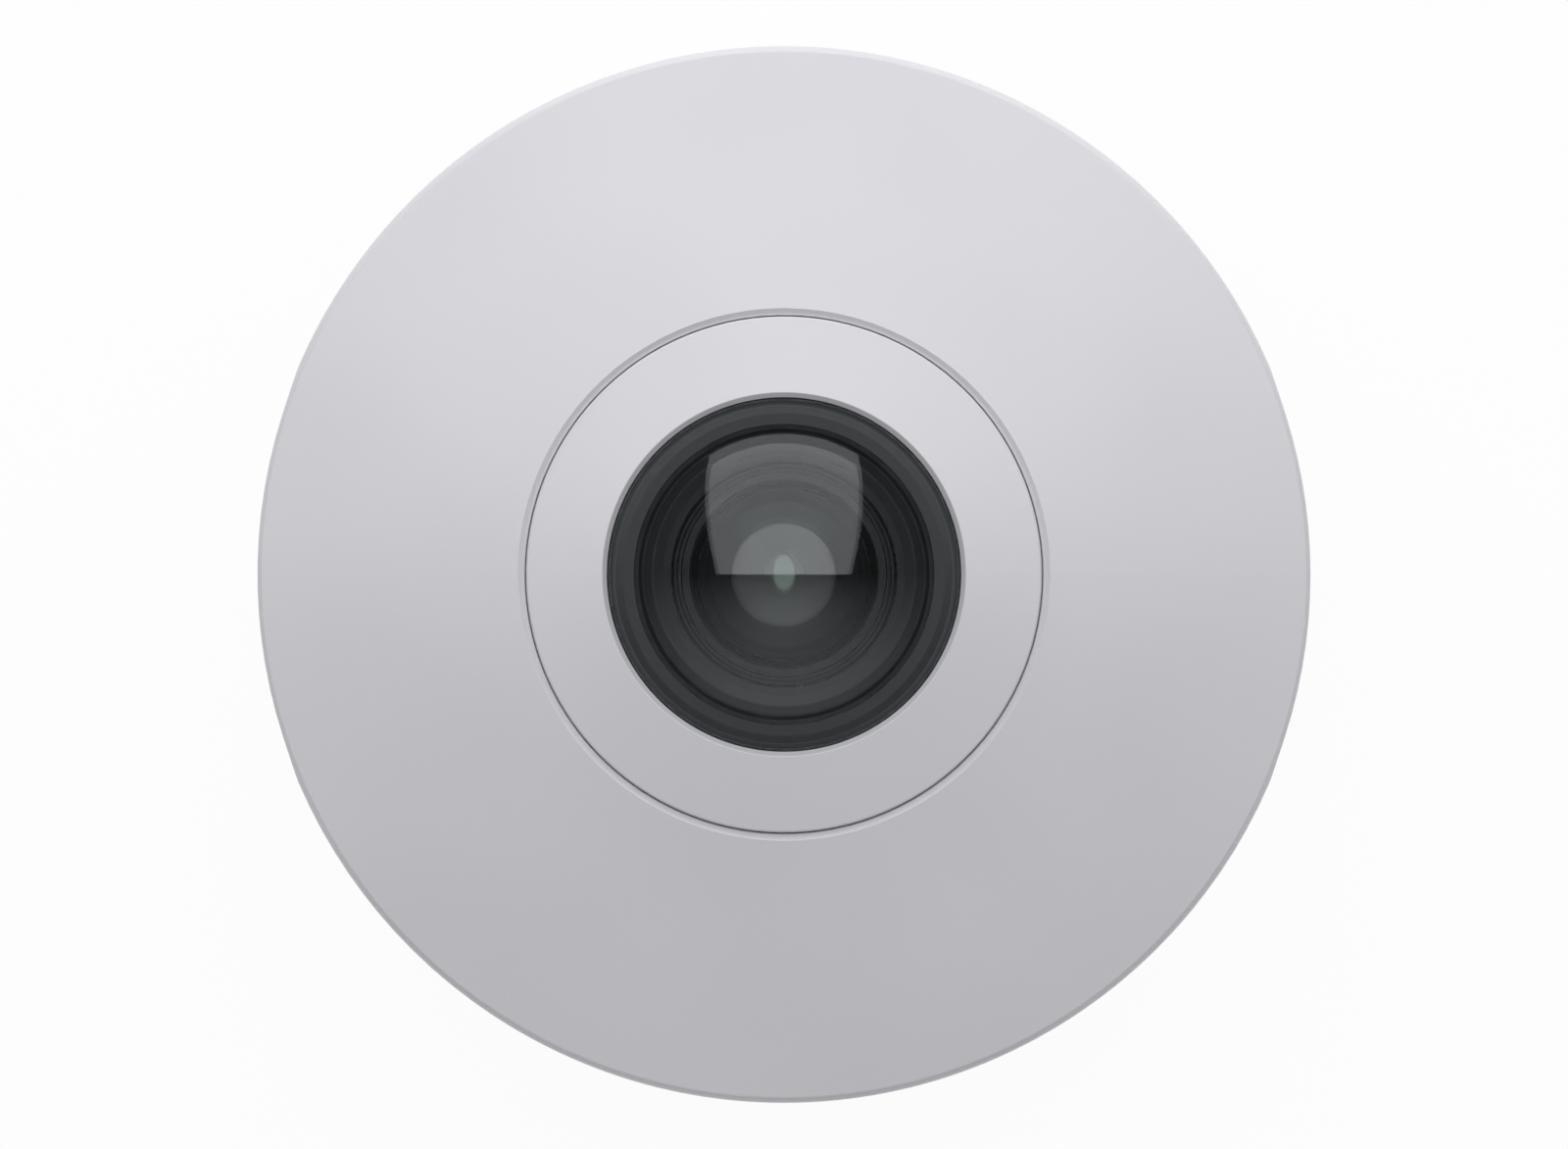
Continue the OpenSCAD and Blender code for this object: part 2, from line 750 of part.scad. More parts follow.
// Second element under the spacer
module second_element() {
    crown = 0.9 * spacer_wall;
    curve = (second_r * second_r + crown * crown) / (2 * crown);
    color("#aebbb6", 0.6) intersection() {
        translate([0, 0, second_top - curve]) sphere(r = curve, $fn = 200);
        translate([0, 0, second_low + spacer_wall]) cylinder(r = second_r, h = second_top - second_low);
    }
}

// Thin disc that limits the light between the lens groups
module aperture_stop() {
    color(black) translate([0, 0, second_low]) difference() {
        cylinder(r = second_r, h = spacer_wall);
        translate([0, 0, -over]) cylinder(r = rear_cap_r, h = spacer_wall + 2 * over);
    }
}

// Cemented group in the threaded part of the barrel: a steep front cap and a domed rear face
module rear_elements() {
    low = sensor_top + chip_sensor_t + filter_t + 3 * gap;
    top = second_low - fit;
    curve = (rear_r * rear_r + rear_sag * rear_sag) / (2 * rear_sag);
    cap_c = top - rear_curve_r;
    shoulder = cap_c + sqrt(rear_curve_r * rear_curve_r - rear_cap_r * rear_cap_r);
    color("#aebbb6", 0.6) {
        intersection() {
            translate([0, 0, low - over]) cylinder(r = rear_r, h = shoulder - low + over);
            translate([0, 0, low + curve]) sphere(r = curve);
        }
        intersection() {
            translate([0, 0, shoulder - over]) cylinder(r = rear_cap_r, h = top - shoulder + 2 * over);
            translate([0, 0, cap_c]) sphere(r = rear_curve_r);
        }
    }
}

// Black dish around the lens, under the dome
module lens_baffle() {
    t = gasket_t;
    low = lens_z - step_drop;
    hole = lens_head_r + 0.5 * gap;
    color(black) rotate_extrude() polygon([
        [gasket_in - fit, seat_z], [gasket_in - fit, seat_z + t], [seat_in, seat_z + t],
        [hole + t, low + t / 2], [hole, low + t / 2], [hole, low - t / 2],
        [hole + 0.9 * t, low - t / 2], [seat_in - 2 * fit, seat_z - t / 2], [seat_in - 2 * fit, seat_z]]);
}

module dome_gasket() {
    color("#1c1d1f") translate([0, 0, seat_z]) difference() {
        cylinder(r = flange_r, h = gasket_t);
        translate([0, 0, -over]) cylinder(r = gasket_in, h = gasket_t + 2 * over);
    }
}

// Clear dome with a flange that the bezel holds down
module dome_window() {
    low = flange_z - flange_t;
    color("#cfd6da", 0.35) difference() {
        union() {
            translate([0, 0, low]) cylinder(r = flange_r, h = flange_t);
            intersection() {
                translate([0, 0, dome_c]) sphere(r = dome_r);
                translate([0, 0, low + flange_t / 2]) cylinder(r = flange_r, h = dome_r);
            }
        }
        translate([0, 0, dome_c]) sphere(r = dome_r - dome_t);
    }
}

// Black ring that holds the dome: a flat band inside, then two that fall away outwards
module bezel_ring() {
    band = (bezel_r - dome_edge_r) / 4;
    bore_r = dome_r + 2 * fit;
    color(black) rotate_extrude() polygon(concat(
        [[bezel_r, flange_z], [bezel_r, bezel_z - 0.9 * band],
            [bezel_r - 0.75 * band, bezel_z - band / 4], [bezel_r - 2 * band, bezel_z]],
        arc([0, dome_c], bore_r, asin((bezel_z - dome_c) / bore_r), asin((flange_z - dome_c) / bore_r), 6)));
}

// Cutter of one finger grip: a tapered turn between two flats that run out tangentially
module grip_cut(side) {
    low_r = cover_r - grip_depth - (wall_top - base_gap) * tan(grip_taper);
    top_r = cover_r - grip_depth + 2 * rim_round * tan(grip_taper);
    top = wall_top + 2 * rim_round;
    far = cover_r + 4 * over;
    rotate([0, 0, side - grip_angle / 2]) rotate_extrude(angle = grip_angle)
        polygon([[low_r, base_gap], [top_r, top], [far, top], [far, -over], [low_r, -over]]);
    for (s = [0, 1]) rotate([0, 0, side + (s - 0.5) * grip_angle])
        rotate([90, 0, 0]) mirror([0, 0, s]) linear_extrude(cover_r / 3)
            polygon([[low_r, base_gap], [top_r, top], [far, top], [far, -over], [low_r, -over]]);
}

// Cover: side wall, rounded rim, conical face, ribs inside and a side exit for the cable
module outer_cover() {
    face_t = cover_t / cos(face_slope);
    in_round = rim_round / 2;
    in_c = cover_in - in_round;
    in_z = face_z(in_c) - face_t - in_round / cos(face_slope);
    lap_r = edge_r + lap_w;
    groove_r = edge_r + groove_w;
    rail_in = chassis_r - 2 * gap;
    rail_low = base_gap + foot_bevel;
    rail_a = shutter_angle + rail_slack + exit_turn;
    color(shell_grey) difference() {
        union() {
            rotate_extrude() polygon(concat(
                [[cover_in, base_gap], [cover_r - foot_bevel, base_gap], [cover_r, base_gap + foot_bevel]],
                arc([cover_r - rim_round, wall_top], rim_round, 0, rim_turn, 6),
                arc(fold_c, rim_fold, rim_turn, 90 - face_slope, 4),
                [[groove_r + groove_bevel, face_z(groove_r + groove_bevel)],
                    [groove_r, face_z(groove_r) - groove_t], [edge_r, face_z(edge_r) - groove_t - edge_gap],
                    [edge_r, face_z(edge_r) - lap_t],
                    [lap_r, face_z(lap_r) - lap_t], [lap_r + lap_t, face_z(lap_r + lap_t) - face_t]],
                arc([in_c, in_z], in_round, 90 - face_slope, 0, 6)));
            around(ribs, rib_first)
                translate([chassis_r + gap, -rib_w / 2, base_gap + 2 * foot_bevel])
                    cube([cover_r - cover_t / 2 - chassis_r - gap, rib_w, rib_top]);
            for (s = [0, 1]) mirror([s, 0, 0]) difference() {
                sector(rail_in, cover_r - cover_t / 2, rail_low, rail_h,
                    rail_a - rail_slack - rail_lap, rail_a + rail_wide);
                sector(rail_in + 2 * gap, cover_r, rail_low - over, rail_h + over,
                    rail_a - rail_slack - 2 * rail_lap, rail_a);
            }
        }
        translate([-exit_w / 2, -cover_r - over, -over])
            cube([exit_w, cover_r / 4, exit_h + base_gap + over]);
        for (side = [0, 180]) grip_cut(side);
    }
}

// Curved shutter that slides up to open the side exit
module cable_shutter() {
    low = base_gap + gap;
    outer = cover_in - gap;
    inner = outer - shutter_t;
    grooves = 3;
    groove = shutter_t / 3;
    color("#cfd1d5") difference() {
        sector(inner, outer, low, low + shutter_h, exit_turn - shutter_angle, exit_turn + shutter_angle);
        for (i = [1:grooves])
            sector(outer - groove, outer + over, low + i * 3 * groove, low + i * 3 * groove + groove,
                exit_turn - shutter_angle / 2, exit_turn + shutter_angle / 2);
    }
}

mounting_plate();
chassis();
lock_screw();
cover_springs();
main_board();
board_screws();
network_jack();
jack_contacts();
processor();
thermal_pad();
heat_sink();
memory_chips();
power_transformer();
capacitors();
inductors();
card_slot();
memory_card();
button_switch();
control_button();
status_led();
flex_connectors();
flex_cable();
front_housing();
housing_screws();
sensor_board();
sensor_screws();
image_sensor();
infrared_filter();
lens_holder();
lens_barrel();
lens_ring();
front_element();
lens_spacer();
second_element();
aperture_stop();
rear_elements();
lens_baffle();
dome_gasket();
dome_window();
bezel_ring();
outer_cover();
cable_shutter();
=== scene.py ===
"""Looks for a compact ceiling camera with a fisheye lens behind a clear dome.

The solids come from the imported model, and each gets the finish of its real material.
The clear pieces are modelled again as finer shells, because what they mirror and bend
shows every facet, and the main board gets the small parts that a real one carries.
Lengths are in metres, as in the frame. Patterns are sized in millimetres.
"""

import math

import bpy
from mathutils import Matrix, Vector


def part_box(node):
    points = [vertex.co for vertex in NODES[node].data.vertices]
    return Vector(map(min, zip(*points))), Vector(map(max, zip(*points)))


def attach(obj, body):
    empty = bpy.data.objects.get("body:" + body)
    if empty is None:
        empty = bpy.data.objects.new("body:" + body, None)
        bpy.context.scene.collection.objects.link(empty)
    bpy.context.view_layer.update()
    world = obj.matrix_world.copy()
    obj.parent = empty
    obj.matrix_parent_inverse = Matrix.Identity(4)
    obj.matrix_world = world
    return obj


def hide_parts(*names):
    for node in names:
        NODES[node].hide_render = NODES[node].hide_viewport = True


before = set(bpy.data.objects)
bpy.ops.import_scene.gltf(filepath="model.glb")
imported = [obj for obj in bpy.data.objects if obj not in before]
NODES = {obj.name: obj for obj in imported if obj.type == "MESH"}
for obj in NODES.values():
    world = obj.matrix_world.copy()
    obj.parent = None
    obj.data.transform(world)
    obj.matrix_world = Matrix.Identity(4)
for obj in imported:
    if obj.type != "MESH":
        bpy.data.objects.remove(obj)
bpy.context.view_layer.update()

MM = 0.001

# Clear pieces: radii of their curves and walls, as in the solids
DOME_R = 19 * MM
DOME_WALL = 1.5 * MM
DOME_FLANGE = 1 * MM
FRONT_CURVE = 11 * MM
FRONT_HOLLOW = 8.8 * MM
FRONT_WALL = 1 * MM
SECOND_CROWN = 0.36 * MM
REAR_CURVE = 2.6 * MM
REAR_CAP = 2 * MM
REAR_BACK_CURVE = 13.2 * MM
TURNS = 192
RINGS = 180
# In metres: how exact a cut is, how near its edge a point counts as on it, and how near to each
# other two points count as one
CUT_WITHIN = 1e-7
ON_EDGE_WITHIN = 1e-6
SAME_WITHIN = 2e-6

# Refractive index of polycarbonate, moulded or clear
POLYCARBONATE_IOR = 1.585
# Green zone of the second lens, a painted reflection: lengths along Y are drawn in by this share,
# which makes it longer that way, and moved by these millimetres, which puts its middle 0.2 mm
# towards +Y.
# It fades out between two shares of its radius.
CORE_DRAWN_IN = 0.62
CORE_MOVED = -0.13
CORE_FADES = (1.15, 0.75)
# Painted light and shade round the axis, which form and light alone didn't give: middle radius and
# half width in millimetres, and colour. The window's lip has a grey band and a dark line of painted
# shade, the bezel a band of painted highlight, and the baffle a paler band of painted light. The
# lens ring's groove is one of them, painted shade, and has no colour here.
LIP_SHADE_BANDS = ((16.98, 0.25, "#b0b0b3"), (16.78, 0.035, "#1b1c1d"))
BEZEL_HIGHLIGHT_BANDS = ((16.27, 0.23, "#5c6264"),)
BAFFLE_LIGHT_BANDS = ((13.8, 0.45, "#484c51"),)
RING_GROOVE_SHADE = (9.97, 0.1)

# Main board: where its parts stand, as shares of its radius
CANS = ((0.61, 0.58), (0.73, 0.35), (-0.7, 0.52))
COILS = ((0.4, 0.38), (-0.58, -0.64))
MEMORIES = ((-0.46, 0.32), (-0.73, 0.3))
BOARD_SCREWS = ((-0.84, -0.09), (-0.38, -0.52), (0.42, -0.49), (0.35, 0.725))
MEMORY_SIDE = 0.23
BOARD_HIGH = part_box("main_board")[1]
BOARD_R = BOARD_HIGH.x / MM
BOARD_TOP = BOARD_HIGH.z / MM
# Sensor board: how far its screws stand from the axis, in millimetres
SENSOR_SCREWS_AT = 17.7

# Camera: straight above the lens, as far away as the photograph's flat view needs
CAMERA_Z = 1.2355
CAMERA_LENS = 288.4
# Floor: its side, its place just under the mounting plate, so that the two faces don't lie in one
# plane, and the share of it that shines plain white, where the rest takes the shadow
FLOOR_SIDE = 24
FLOOR_GAP = 0.05 * MM
FLOOR_WHITE = 0.95
# Soft card: how far it stands away, its half widths, reaches and heights as shares of that, two
# heights in millimetres, and its strength at each of them
CARD_REACH = 0.9
CARD_ROWS = ((0.794, 0.0, 1.0), (0.727, 0.14, 0.86), (0.687, 0.271, 0.729), (0.638, 0.435, 0.565),
             (0.604, 0.618, 0.382), (0.594, 0.8, 0.2), (0.553, 0.85, 0.1), (0.357, 0.6, 0.0))
CARD_FADES = (300.0, 120.0)
CARD_STRENGTH = (1.68, 2.0)
# Room: strength away from -Y and behind -Y, each as light and in mirror images, and the sine of
# the angle from upright inside which the pale part fades out
ROOM_DARK = (0.17, 0.11)
ROOM_PALE = (0.43, 0.78)
ROOM_FADES = 0.34


# Colours, nodes and patterns


def linear(hex_colour):
    """An sRGB hex colour as linear RGBA."""
    parts = [int(hex_colour[i:i + 2], 16) / 255 for i in (1, 3, 5)]
    return [c / 12.92 if c <= 0.04045 else ((c + 0.055) / 1.055) ** 2.4 for c in parts] + [1.0]


def add(tree, kind, inputs=None, out=0, **settings):
    """Adds a node with its settings and links, and gives back the output that is asked for.

    An input is a number, a vector, a hex colour or the output that feeds it.
    """
    node = tree.nodes.new("ShaderNode" + kind)
    for name, value in settings.items():
        setattr(node, name, value)
    for key, value in (inputs or {}).items():
        if isinstance(value, bpy.types.NodeSocket):
            tree.links.new(value, node.inputs[key])
        else:
            node.inputs[key].default_value = linear(value) if isinstance(value, str) else value
    return node.outputs[out] if node.outputs else node


def start(name):
    """A new material, its empty tree and the place on the piece in millimetres."""
    material = bpy.data.materials.new(name)
    material.use_nodes = True
    tree = material.node_tree
    tree.nodes.clear()
    place = add(tree, "TexCoord", out="Object")
    return material, tree, add(tree, "Mapping", {"Vector": place, "Scale": [1 / MM] * 3})


def cover_with(material, sockets, height=None, depth=0.01):
    """Gives a material its surface. A height from 0 to 1 gives relief of a depth in millimetres."""
    tree = material.node_tree
    if height is not None:
        sockets["Normal"] = add(tree, "Bump", {"Height": height, "Distance": depth * MM,
                                               "Strength": 1.0})
    add(tree, "OutputMaterial", {"Surface": add(tree, "BsdfPrincipled", sockets)})
    return material


def two_tone(tree, shade, tones, dull, rough):
    """Sockets for two tones that follow one pattern and two roughnesses that follow another."""
    return {"Base Color": add(tree, "Mix", {0: shade, 6: tones[0], 7: tones[1]}, out=2,
                              data_type="RGBA"),
            "Roughness": add(tree, "MapRange", {"Value": dull, "To Min": rough[0],
                                                "To Max": rough[1]})}


def with_zone(tree, sockets, zone, colour, rough):
    """Those sockets with another colour and roughness inside a zone."""
    return {"Base Color": add(tree, "Mix", {0: zone, 6: sockets["Base Color"], 7: colour}, out=2,
                              data_type="RGBA"),
            "Roughness": add(tree, "Mix", {0: zone, 2: sockets["Roughness"], 3: rough},
                             data_type="FLOAT")}


def grain(tree, where, size, stretch=(1, 1, 1), detail=2.0, middle=0.4):
    """Soft spots of a size in millimetres whose middle tones spread from 0 to 1."""
    placed = add(tree, "Mapping", {"Vector": where, "Scale": [s / size for s in stretch]})
    spots = add(tree, "TexNoise", {"Vector": placed, "Scale": 1.0, "Detail": detail})
    return add(tree, "MapRange", {"Value": spots, "From Min": 0.5 - middle / 2,
                                  "From Max": 0.5 + middle / 2})


def from_axis(tree, where, axis=(0, 0)):
    """Distance from an upright axis."""
    placed = add(tree, "VectorMath", {0: where, 1: (*axis, 0)}, operation="SUBTRACT")
    flat = add(tree, "VectorMath", {0: placed, 1: (1, 1, 0)}, operation="MULTIPLY")
    return add(tree, "VectorMath", {0: flat}, out="Value", operation="LENGTH")


def from_nearest(tree, where, places):
    """Distance from the nearest of several upright axes."""
    found = from_axis(tree, where, places[0])
    for place in places[1:]:
        found = add(tree, "Math", {0: found, 1: from_axis(tree, where, place)}, operation="MINIMUM")
    return found


def stripes(tree, value, pitch, share=0.5):
    """1 on a share of every pitch and 0 between."""
    steps = add(tree, "Math", {0: value, 1: pitch}, operation="DIVIDE")
    turn = add(tree, "Math", {0: steps}, operation="FRACT")
    return add(tree, "Math", {0: turn, 1: share}, operation="LESS_THAN")


def ripples(tree, value, pitch):
    """A soft wave from 0 to 1 with one crest in every pitch."""
    turns = add(tree, "Math", {0: value, 1: 2 * math.pi / pitch}, operation="MULTIPLY")
    wave = add(tree, "Math", {0: turns}, operation="SINE")
    return add(tree, "MapRange", {"Value": wave, "From Min": -1.0})


def inside_box(tree, where, low, high):
    """1 inside a box given by two corners in millimetres."""
    parts = [add(tree, "SeparateXYZ", {0: where}, out=i) for i in range(3)]
    found = 1.0
    for part, a, b in zip(parts, low, high):
        here = add(tree, "Math", {0: part, 1: (a + b) / 2, 2: (b - a) / 2}, operation="COMPARE")
        found = add(tree, "Math", {0: here, 1: found}, operation="MULTIPLY")
    return found


def on_board(shares):
    """Places on the main board in millimetres from shares of its radius."""
    return [(x * BOARD_R, y * BOARD_R) for x, y in shares]


def with_painted_bands(tree, where, sockets, painted_bands):
    """Those sockets with bands of painted light and shade round the axis, each a middle radius, a
    half width and a colour.
    """
    for middle, half, tint in painted_bands:
        band = add(tree, "Math", {0: from_axis(tree, where), 1: middle, 2: half},
                   operation="COMPARE")
        sockets["Base Color"] = add(tree, "Mix", {0: band, 6: sockets["Base Color"], 7: tint},
                                    out=2, data_type="RGBA")
    return sockets


def corners(node):
    """A solid's lowest and highest corner in millimetres."""
    low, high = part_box(node)
    return [c / MM for c in low], [c / MM for c in high]


# Moulded plastics and rubber


def textured_polycarbonate(name, pale, shade, painted_bands=()):
    """Polycarbonate blend moulded in a finely spark-eroded tool. It is satin, its grain is just at
    the limit of what the eye makes out, and its colour is barely cloudy. The grain is drawn about
    twice as coarse as the real one, which would be too fine to show."""
    material, tree, where = start(name)
    fine = grain(tree, where, 0.3, detail=3)
    sockets = two_tone(tree, grain(tree, where, 20, detail=1), (pale, shade), fine, (0.28, 0.38))
    return cover_with(material, {**with_painted_bands(tree, where, sockets, painted_bands), "IOR": POLYCARBONATE_IOR},
                      fine, 0.004)


def glass_filled_plastic(name, fibre_colour, base, rough):
    """Glass-filled plastic, moulded: matt, with short paler fibre streaks that lie along the
    flow, and a grain that catches light on flat faces."""
    material, tree, where = start(name)
    fibre = grain(tree, where, 0.5, stretch=(0.25, 1.6, 1.0), detail=3, middle=0.35)
    pits = grain(tree, where, 0.35)
    few = add(tree, "Math", {0: fibre, 1: 0.55}, operation="MULTIPLY")
    sockets = two_tone(tree, few, (base, fibre_colour), pits, (rough - 0.07, rough + 0.07))
    return cover_with(material, {**sockets, "IOR": 1.53}, pits, 0.012)


def etched_black(name, deep, worn, rough, spots=0.22, relief=0.008, painted_bands=()):
    """Black plastic moulded in an etched tool: it swallows light, and only the tops of its grain
    are a little paler. The spots and their relief are in millimetres."""
    material, tree, where = start(name)
    fine = grain(tree, where, spots)
    sockets = two_tone(tree, fine, (deep, worn), fine, (rough - 0.07, rough + 0.07))
    return cover_with(material, {**with_painted_bands(tree, where, sockets, painted_bands), "IOR": 1.5}, fine, relief)


def satin_ring_plastic(name, deep, worn, painted_bands):
    """Black ABS ring from a turned and polished tool: satin, with faint turned lines that run
    round with it."""
    material, tree, where = start(name)
    lines = ripples(tree, from_axis(tree, where), 0.22)
    dust = grain(tree, where, 1.2, detail=3)
    sockets = two_tone(tree, dust, (deep, worn), dust, (0.34, 0.44))
    return cover_with(material, {**with_painted_bands(tree, where, sockets, painted_bands), "IOR": 1.53}, lines, 0.0015)


def silicone(name, colour, bloom, rough):
    """Moulded silicone: soft and dull, with a faint pale bloom in patches."""
    material, tree, where = start(name)
    patches = grain(tree, where, 2.2, detail=3, middle=0.5)
    fine = grain(tree, where, 0.3)
    sockets = two_tone(tree, patches, (colour, bloom), fine, (rough - 0.06, rough + 0.06))
    return cover_with(material, {**sockets, "IOR": 1.41}, fine, 0.01)


# Metals


def plated_steel(name, bright, dull, rough):
    """Zinc-plated or tinned steel: a cool metal whose plating clouds from bright to dull, with fine
    handling scratches in all directions."""
    material, tree, where = start(name)
    cloud = grain(tree, where, 1.6, detail=3)
    scratch = grain(tree, where, 0.4, stretch=(0.3, 2.2, 1.0), detail=4)
    sockets = two_tone(tree, cloud, (bright, dull), scratch, (rough - 0.08, rough + 0.08))
    return cover_with(material, {**sockets, "Metallic": 1.0}, scratch, 0.003)


def rolled_steel(name, bright, streak, stretch):
    """Rolled steel strip: bright, with fine streaks along the rolling direction."""
    material, tree, where = start(name)
    rolled = grain(tree, where, 0.25, stretch=stretch, detail=3)
    sockets = two_tone(tree, rolled, (bright, streak), rolled, (0.2, 0.34))
    return cover_with(material, {**sockets, "Metallic": 1.0}, rolled, 0.002)


def gold_contacts(name):
    """Hard gold over nickel on bronze wire: warm and smooth, slightly worn where plugs rub."""
    material, tree, where = start(name)
    worn = grain(tree, where, 1.1)
    sockets = two_tone(tree, worn, ("#e6c06a", "#c9a35a"), worn, (0.16, 0.3))
    return cover_with(material, {**sockets, "Metallic": 1.0})


def extruded_aluminium(name):
    """Extruded aluminium, clear anodised: pale grey and dull, with die lines along the fins."""
    material, tree, where = start(name)
    lines = grain(tree, where, 0.3, stretch=(1.0, 0.04, 1.0), detail=3)
    sockets = two_tone(tree, lines, ("#b9bcbf", "#a3a6a9"), lines, (0.34, 0.48))
    return cover_with(material, {**sockets, "Metallic": 1.0}, lines, 0.004)


def black_anodised_aluminium(name, deep, worn, rough, pitch=0.3, upright=True, shine=0.5,
                             groove=None):
    """Turned aluminium, black anodised: tool lines run round it, and their crests are a touch
    paler. The lines are drawn at two to three times the real feed so that they show. A groove,
    given by its middle radius and half width, is dull and painted darker still: painted shade."""
    material, tree, where = start(name)
    around = from_axis(tree, where)
    up = add(tree, "SeparateXYZ", {0: where}, out="Z")
    course = add(tree, "Math", {0: around, 1: up}, operation="ADD") if upright else around
    lines = ripples(tree, course, pitch)
    dust = grain(tree, where, 0.9, detail=3)
    tone = add(tree, "Math", {0: lines, 1: dust}, operation="MULTIPLY")
    sockets = two_tone(tree, tone, (deep, worn), dust, (rough - 0.05, rough + 0.05))
    if groove:
        # The groove is painted near black: painted shade.
        sunk = add(tree, "Math", {0: around, 1: groove[0], 2: groove[1]}, operation="COMPARE")
        sockets = with_zone(tree, sockets, sunk, "#020303", 0.95)
    return cover_with(material, {**sockets, "Metallic": 0.35, "Specular IOR Level": shine}, lines,
                      0.0006)


# Clear pieces


def clear_piece(name, tint, ior, mirror, veil=0.0, core=None):
    """Polished clear plastic or glass. The mirror colour is how much its coat leaves of what bare
    glass would mirror, and a veil is the share of light that it sends back diffusely, as haze
    inside would; on the second lens the veil is a painted reflection in place of the mirror images
    of its inner faces. A core is the radius, tint and veil of a soft oval in the middle, painted a
    little towards +Y. It is a painted reflection that stands in for a mirror image of the light
    deep in the lens, so it doesn't move with the view."""
    material, tree, where = start(name)
    haze = grain(tree, where, 3.0, detail=3)
    clear = 1.0 - veil
    if core:
        oval = add(tree, "Mapping", {"Vector": where, "Location": (0, CORE_MOVED, 0),
                                     "Scale": (1, CORE_DRAWN_IN, 1)})
        zone = add(tree, "MapRange", {
            "Value": from_axis(tree, oval), "From Min": CORE_FADES[0] * core[0],
            "From Max": CORE_FADES[1] * core[0]}, interpolation_type="SMOOTHSTEP")
        tint = add(tree, "Mix", {0: zone, 6: tint, 7: core[1]}, out=2, data_type="RGBA")
        clear = add(tree, "MapRange", {"Value": zone, "To Min": clear, "To Max": 1.0 - core[2]})
    return cover_with(material, {
        "Base Color": tint, "IOR": ior, "Transmission Weight": clear,
        "Roughness": add(tree, "MapRange", {"Value": haze, "To Max": 0.012}),
        "Specular Tint": mirror})


# Circuit boards and their parts


def solder_masked_board(name, screws, screw_pad):
    """Glass-fibre board under green solder mask: glossy dark green with paler runs of track, tinned
    vias, bare tinned rings under the screws, and cut edges that show the tan laminate."""
    material, tree, where = start(name)
    # Tracks lie in bundles that change direction from one patch of the board to the next.
    patch = add(tree, "Mapping", {"Vector": where, "Scale": [1 / 6.5] * 3})
    cell = add(tree, "TexVoronoi", {"Vector": patch, "Scale": 1.0, "Randomness": 0.85}, out="Color",
               distance="CHEBYCHEV", voronoi_dimensions="2D")
    run = add(tree, "SeparateColor", {0: cell}, out=0)
    wide = add(tree, "SeparateColor", {0: cell}, out=1)
    x, y, z = (add(tree, "SeparateXYZ", {0: where}, out=i) for i in range(3))
    slant = add(tree, "Math", {0: x, 1: y}, operation="ADD")
    across = add(tree, "Mix", {0: add(tree, "Math", {0: run, 1: 0.36}, operation="LESS_THAN"),
                               2: x, 3: y}, data_type="FLOAT")
    across = add(tree, "Mix", {0: add(tree, "Math", {0: run, 1: 0.8}, operation="GREATER_THAN"),
                               2: across, 3: slant}, data_type="FLOAT")
    tracks = stripes(tree, across, 0.8, 0.42)
    routed = add(tree, "Math", {0: wide, 1: 0.38}, operation="GREATER_THAN")
    tracks = add(tree, "Math", {0: tracks, 1: routed}, operation="MULTIPLY")
    green = add(tree, "Mix", {0: tracks, 6: "#174a31", 7: "#2b6f4a"}, out=2, data_type="RGBA")
    # Vias are 0.6 mm rings on a loose grid.
    spot = add(tree, "Mapping", {"Vector": where, "Scale": [1 / 2.6] * 3})
    away = add(tree, "TexVoronoi", {"Vector": spot, "Scale": 1.0, "Randomness": 0.9},
               out="Distance", voronoi_dimensions="2D")
    ring = add(tree, "Math", {0: away, 1: 0.11}, operation="LESS_THAN")
    # The hole in each via is painted near black: painted shade where no hole is cut.
    hole = add(tree, "Math", {0: away, 1: 0.05}, operation="LESS_THAN")
    near = from_nearest(tree, where, screws)
    pad = add(tree, "Math", {0: near, 1: screw_pad}, operation="LESS_THAN")
    tinned = add(tree, "Math", {0: ring, 1: pad}, operation="MAXIMUM")
    # The edge is where the surface faces sideways.
    faces = add(tree, "SeparateXYZ", {0: add(tree, "TexCoord", out="Normal")}, out="Z")
    level = add(tree, "Math", {0: faces}, operation="ABSOLUTE")
    edge = add(tree, "Math", {0: level, 1: 0.5}, operation="LESS_THAN")
    flat = add(tree, "Math", {0: 1.0, 1: edge}, operation="SUBTRACT")
    tinned = add(tree, "Math", {0: tinned, 1: flat}, operation="MULTIPLY")
    plies = ripples(tree, z, 0.25)
    laminate = add(tree, "Mix", {0: plies, 6: "#a8925c", 7: "#8a7646"}, out=2, data_type="RGBA")
    colour = add(tree, "Mix", {0: tinned, 6: green, 7: "#c8c6bd"}, out=2, data_type="RGBA")
    colour = add(tree, "Mix", {0: hole, 6: colour, 7: "#20241f"}, out=2, data_type="RGBA")
    weave = grain(tree, where, 0.7)
    gloss = add(tree, "MapRange", {"Value": weave, "To Min": 0.24, "To Max": 0.36})
    rise = add(tree, "Math", {0: tracks, 1: tinned}, operation="MAXIMUM")
    sockets = with_zone(tree, {"Base Color": colour, "Roughness": gloss}, edge, laminate, 0.8)
    return cover_with(material, {**sockets, "Metallic": tinned, "IOR": 1.55}, rise, 0.02)


def epoxy_package(name, dots):
    """Moulded epoxy chip: matt charcoal with a fine grain, and a smooth round dimple that marks its
    first leg."""
    material, tree, where = start(name)
    fine = grain(tree, where, 0.18, detail=3)
    dimple = add(tree, "Math", {0: from_nearest(tree, where, dots), 1: 0.42}, operation="LESS_THAN")
    sunk = add(tree, "Math", {0: fine, 1: dimple}, operation="SUBTRACT")
    matt = two_tone(tree, fine, ("#17181a", "#232527"), fine, (0.5, 0.66))
    return cover_with(material, {**with_zone(tree, matt, dimple, "#2e3033", 0.28), "IOR": 1.54},
                      sunk, 0.012)


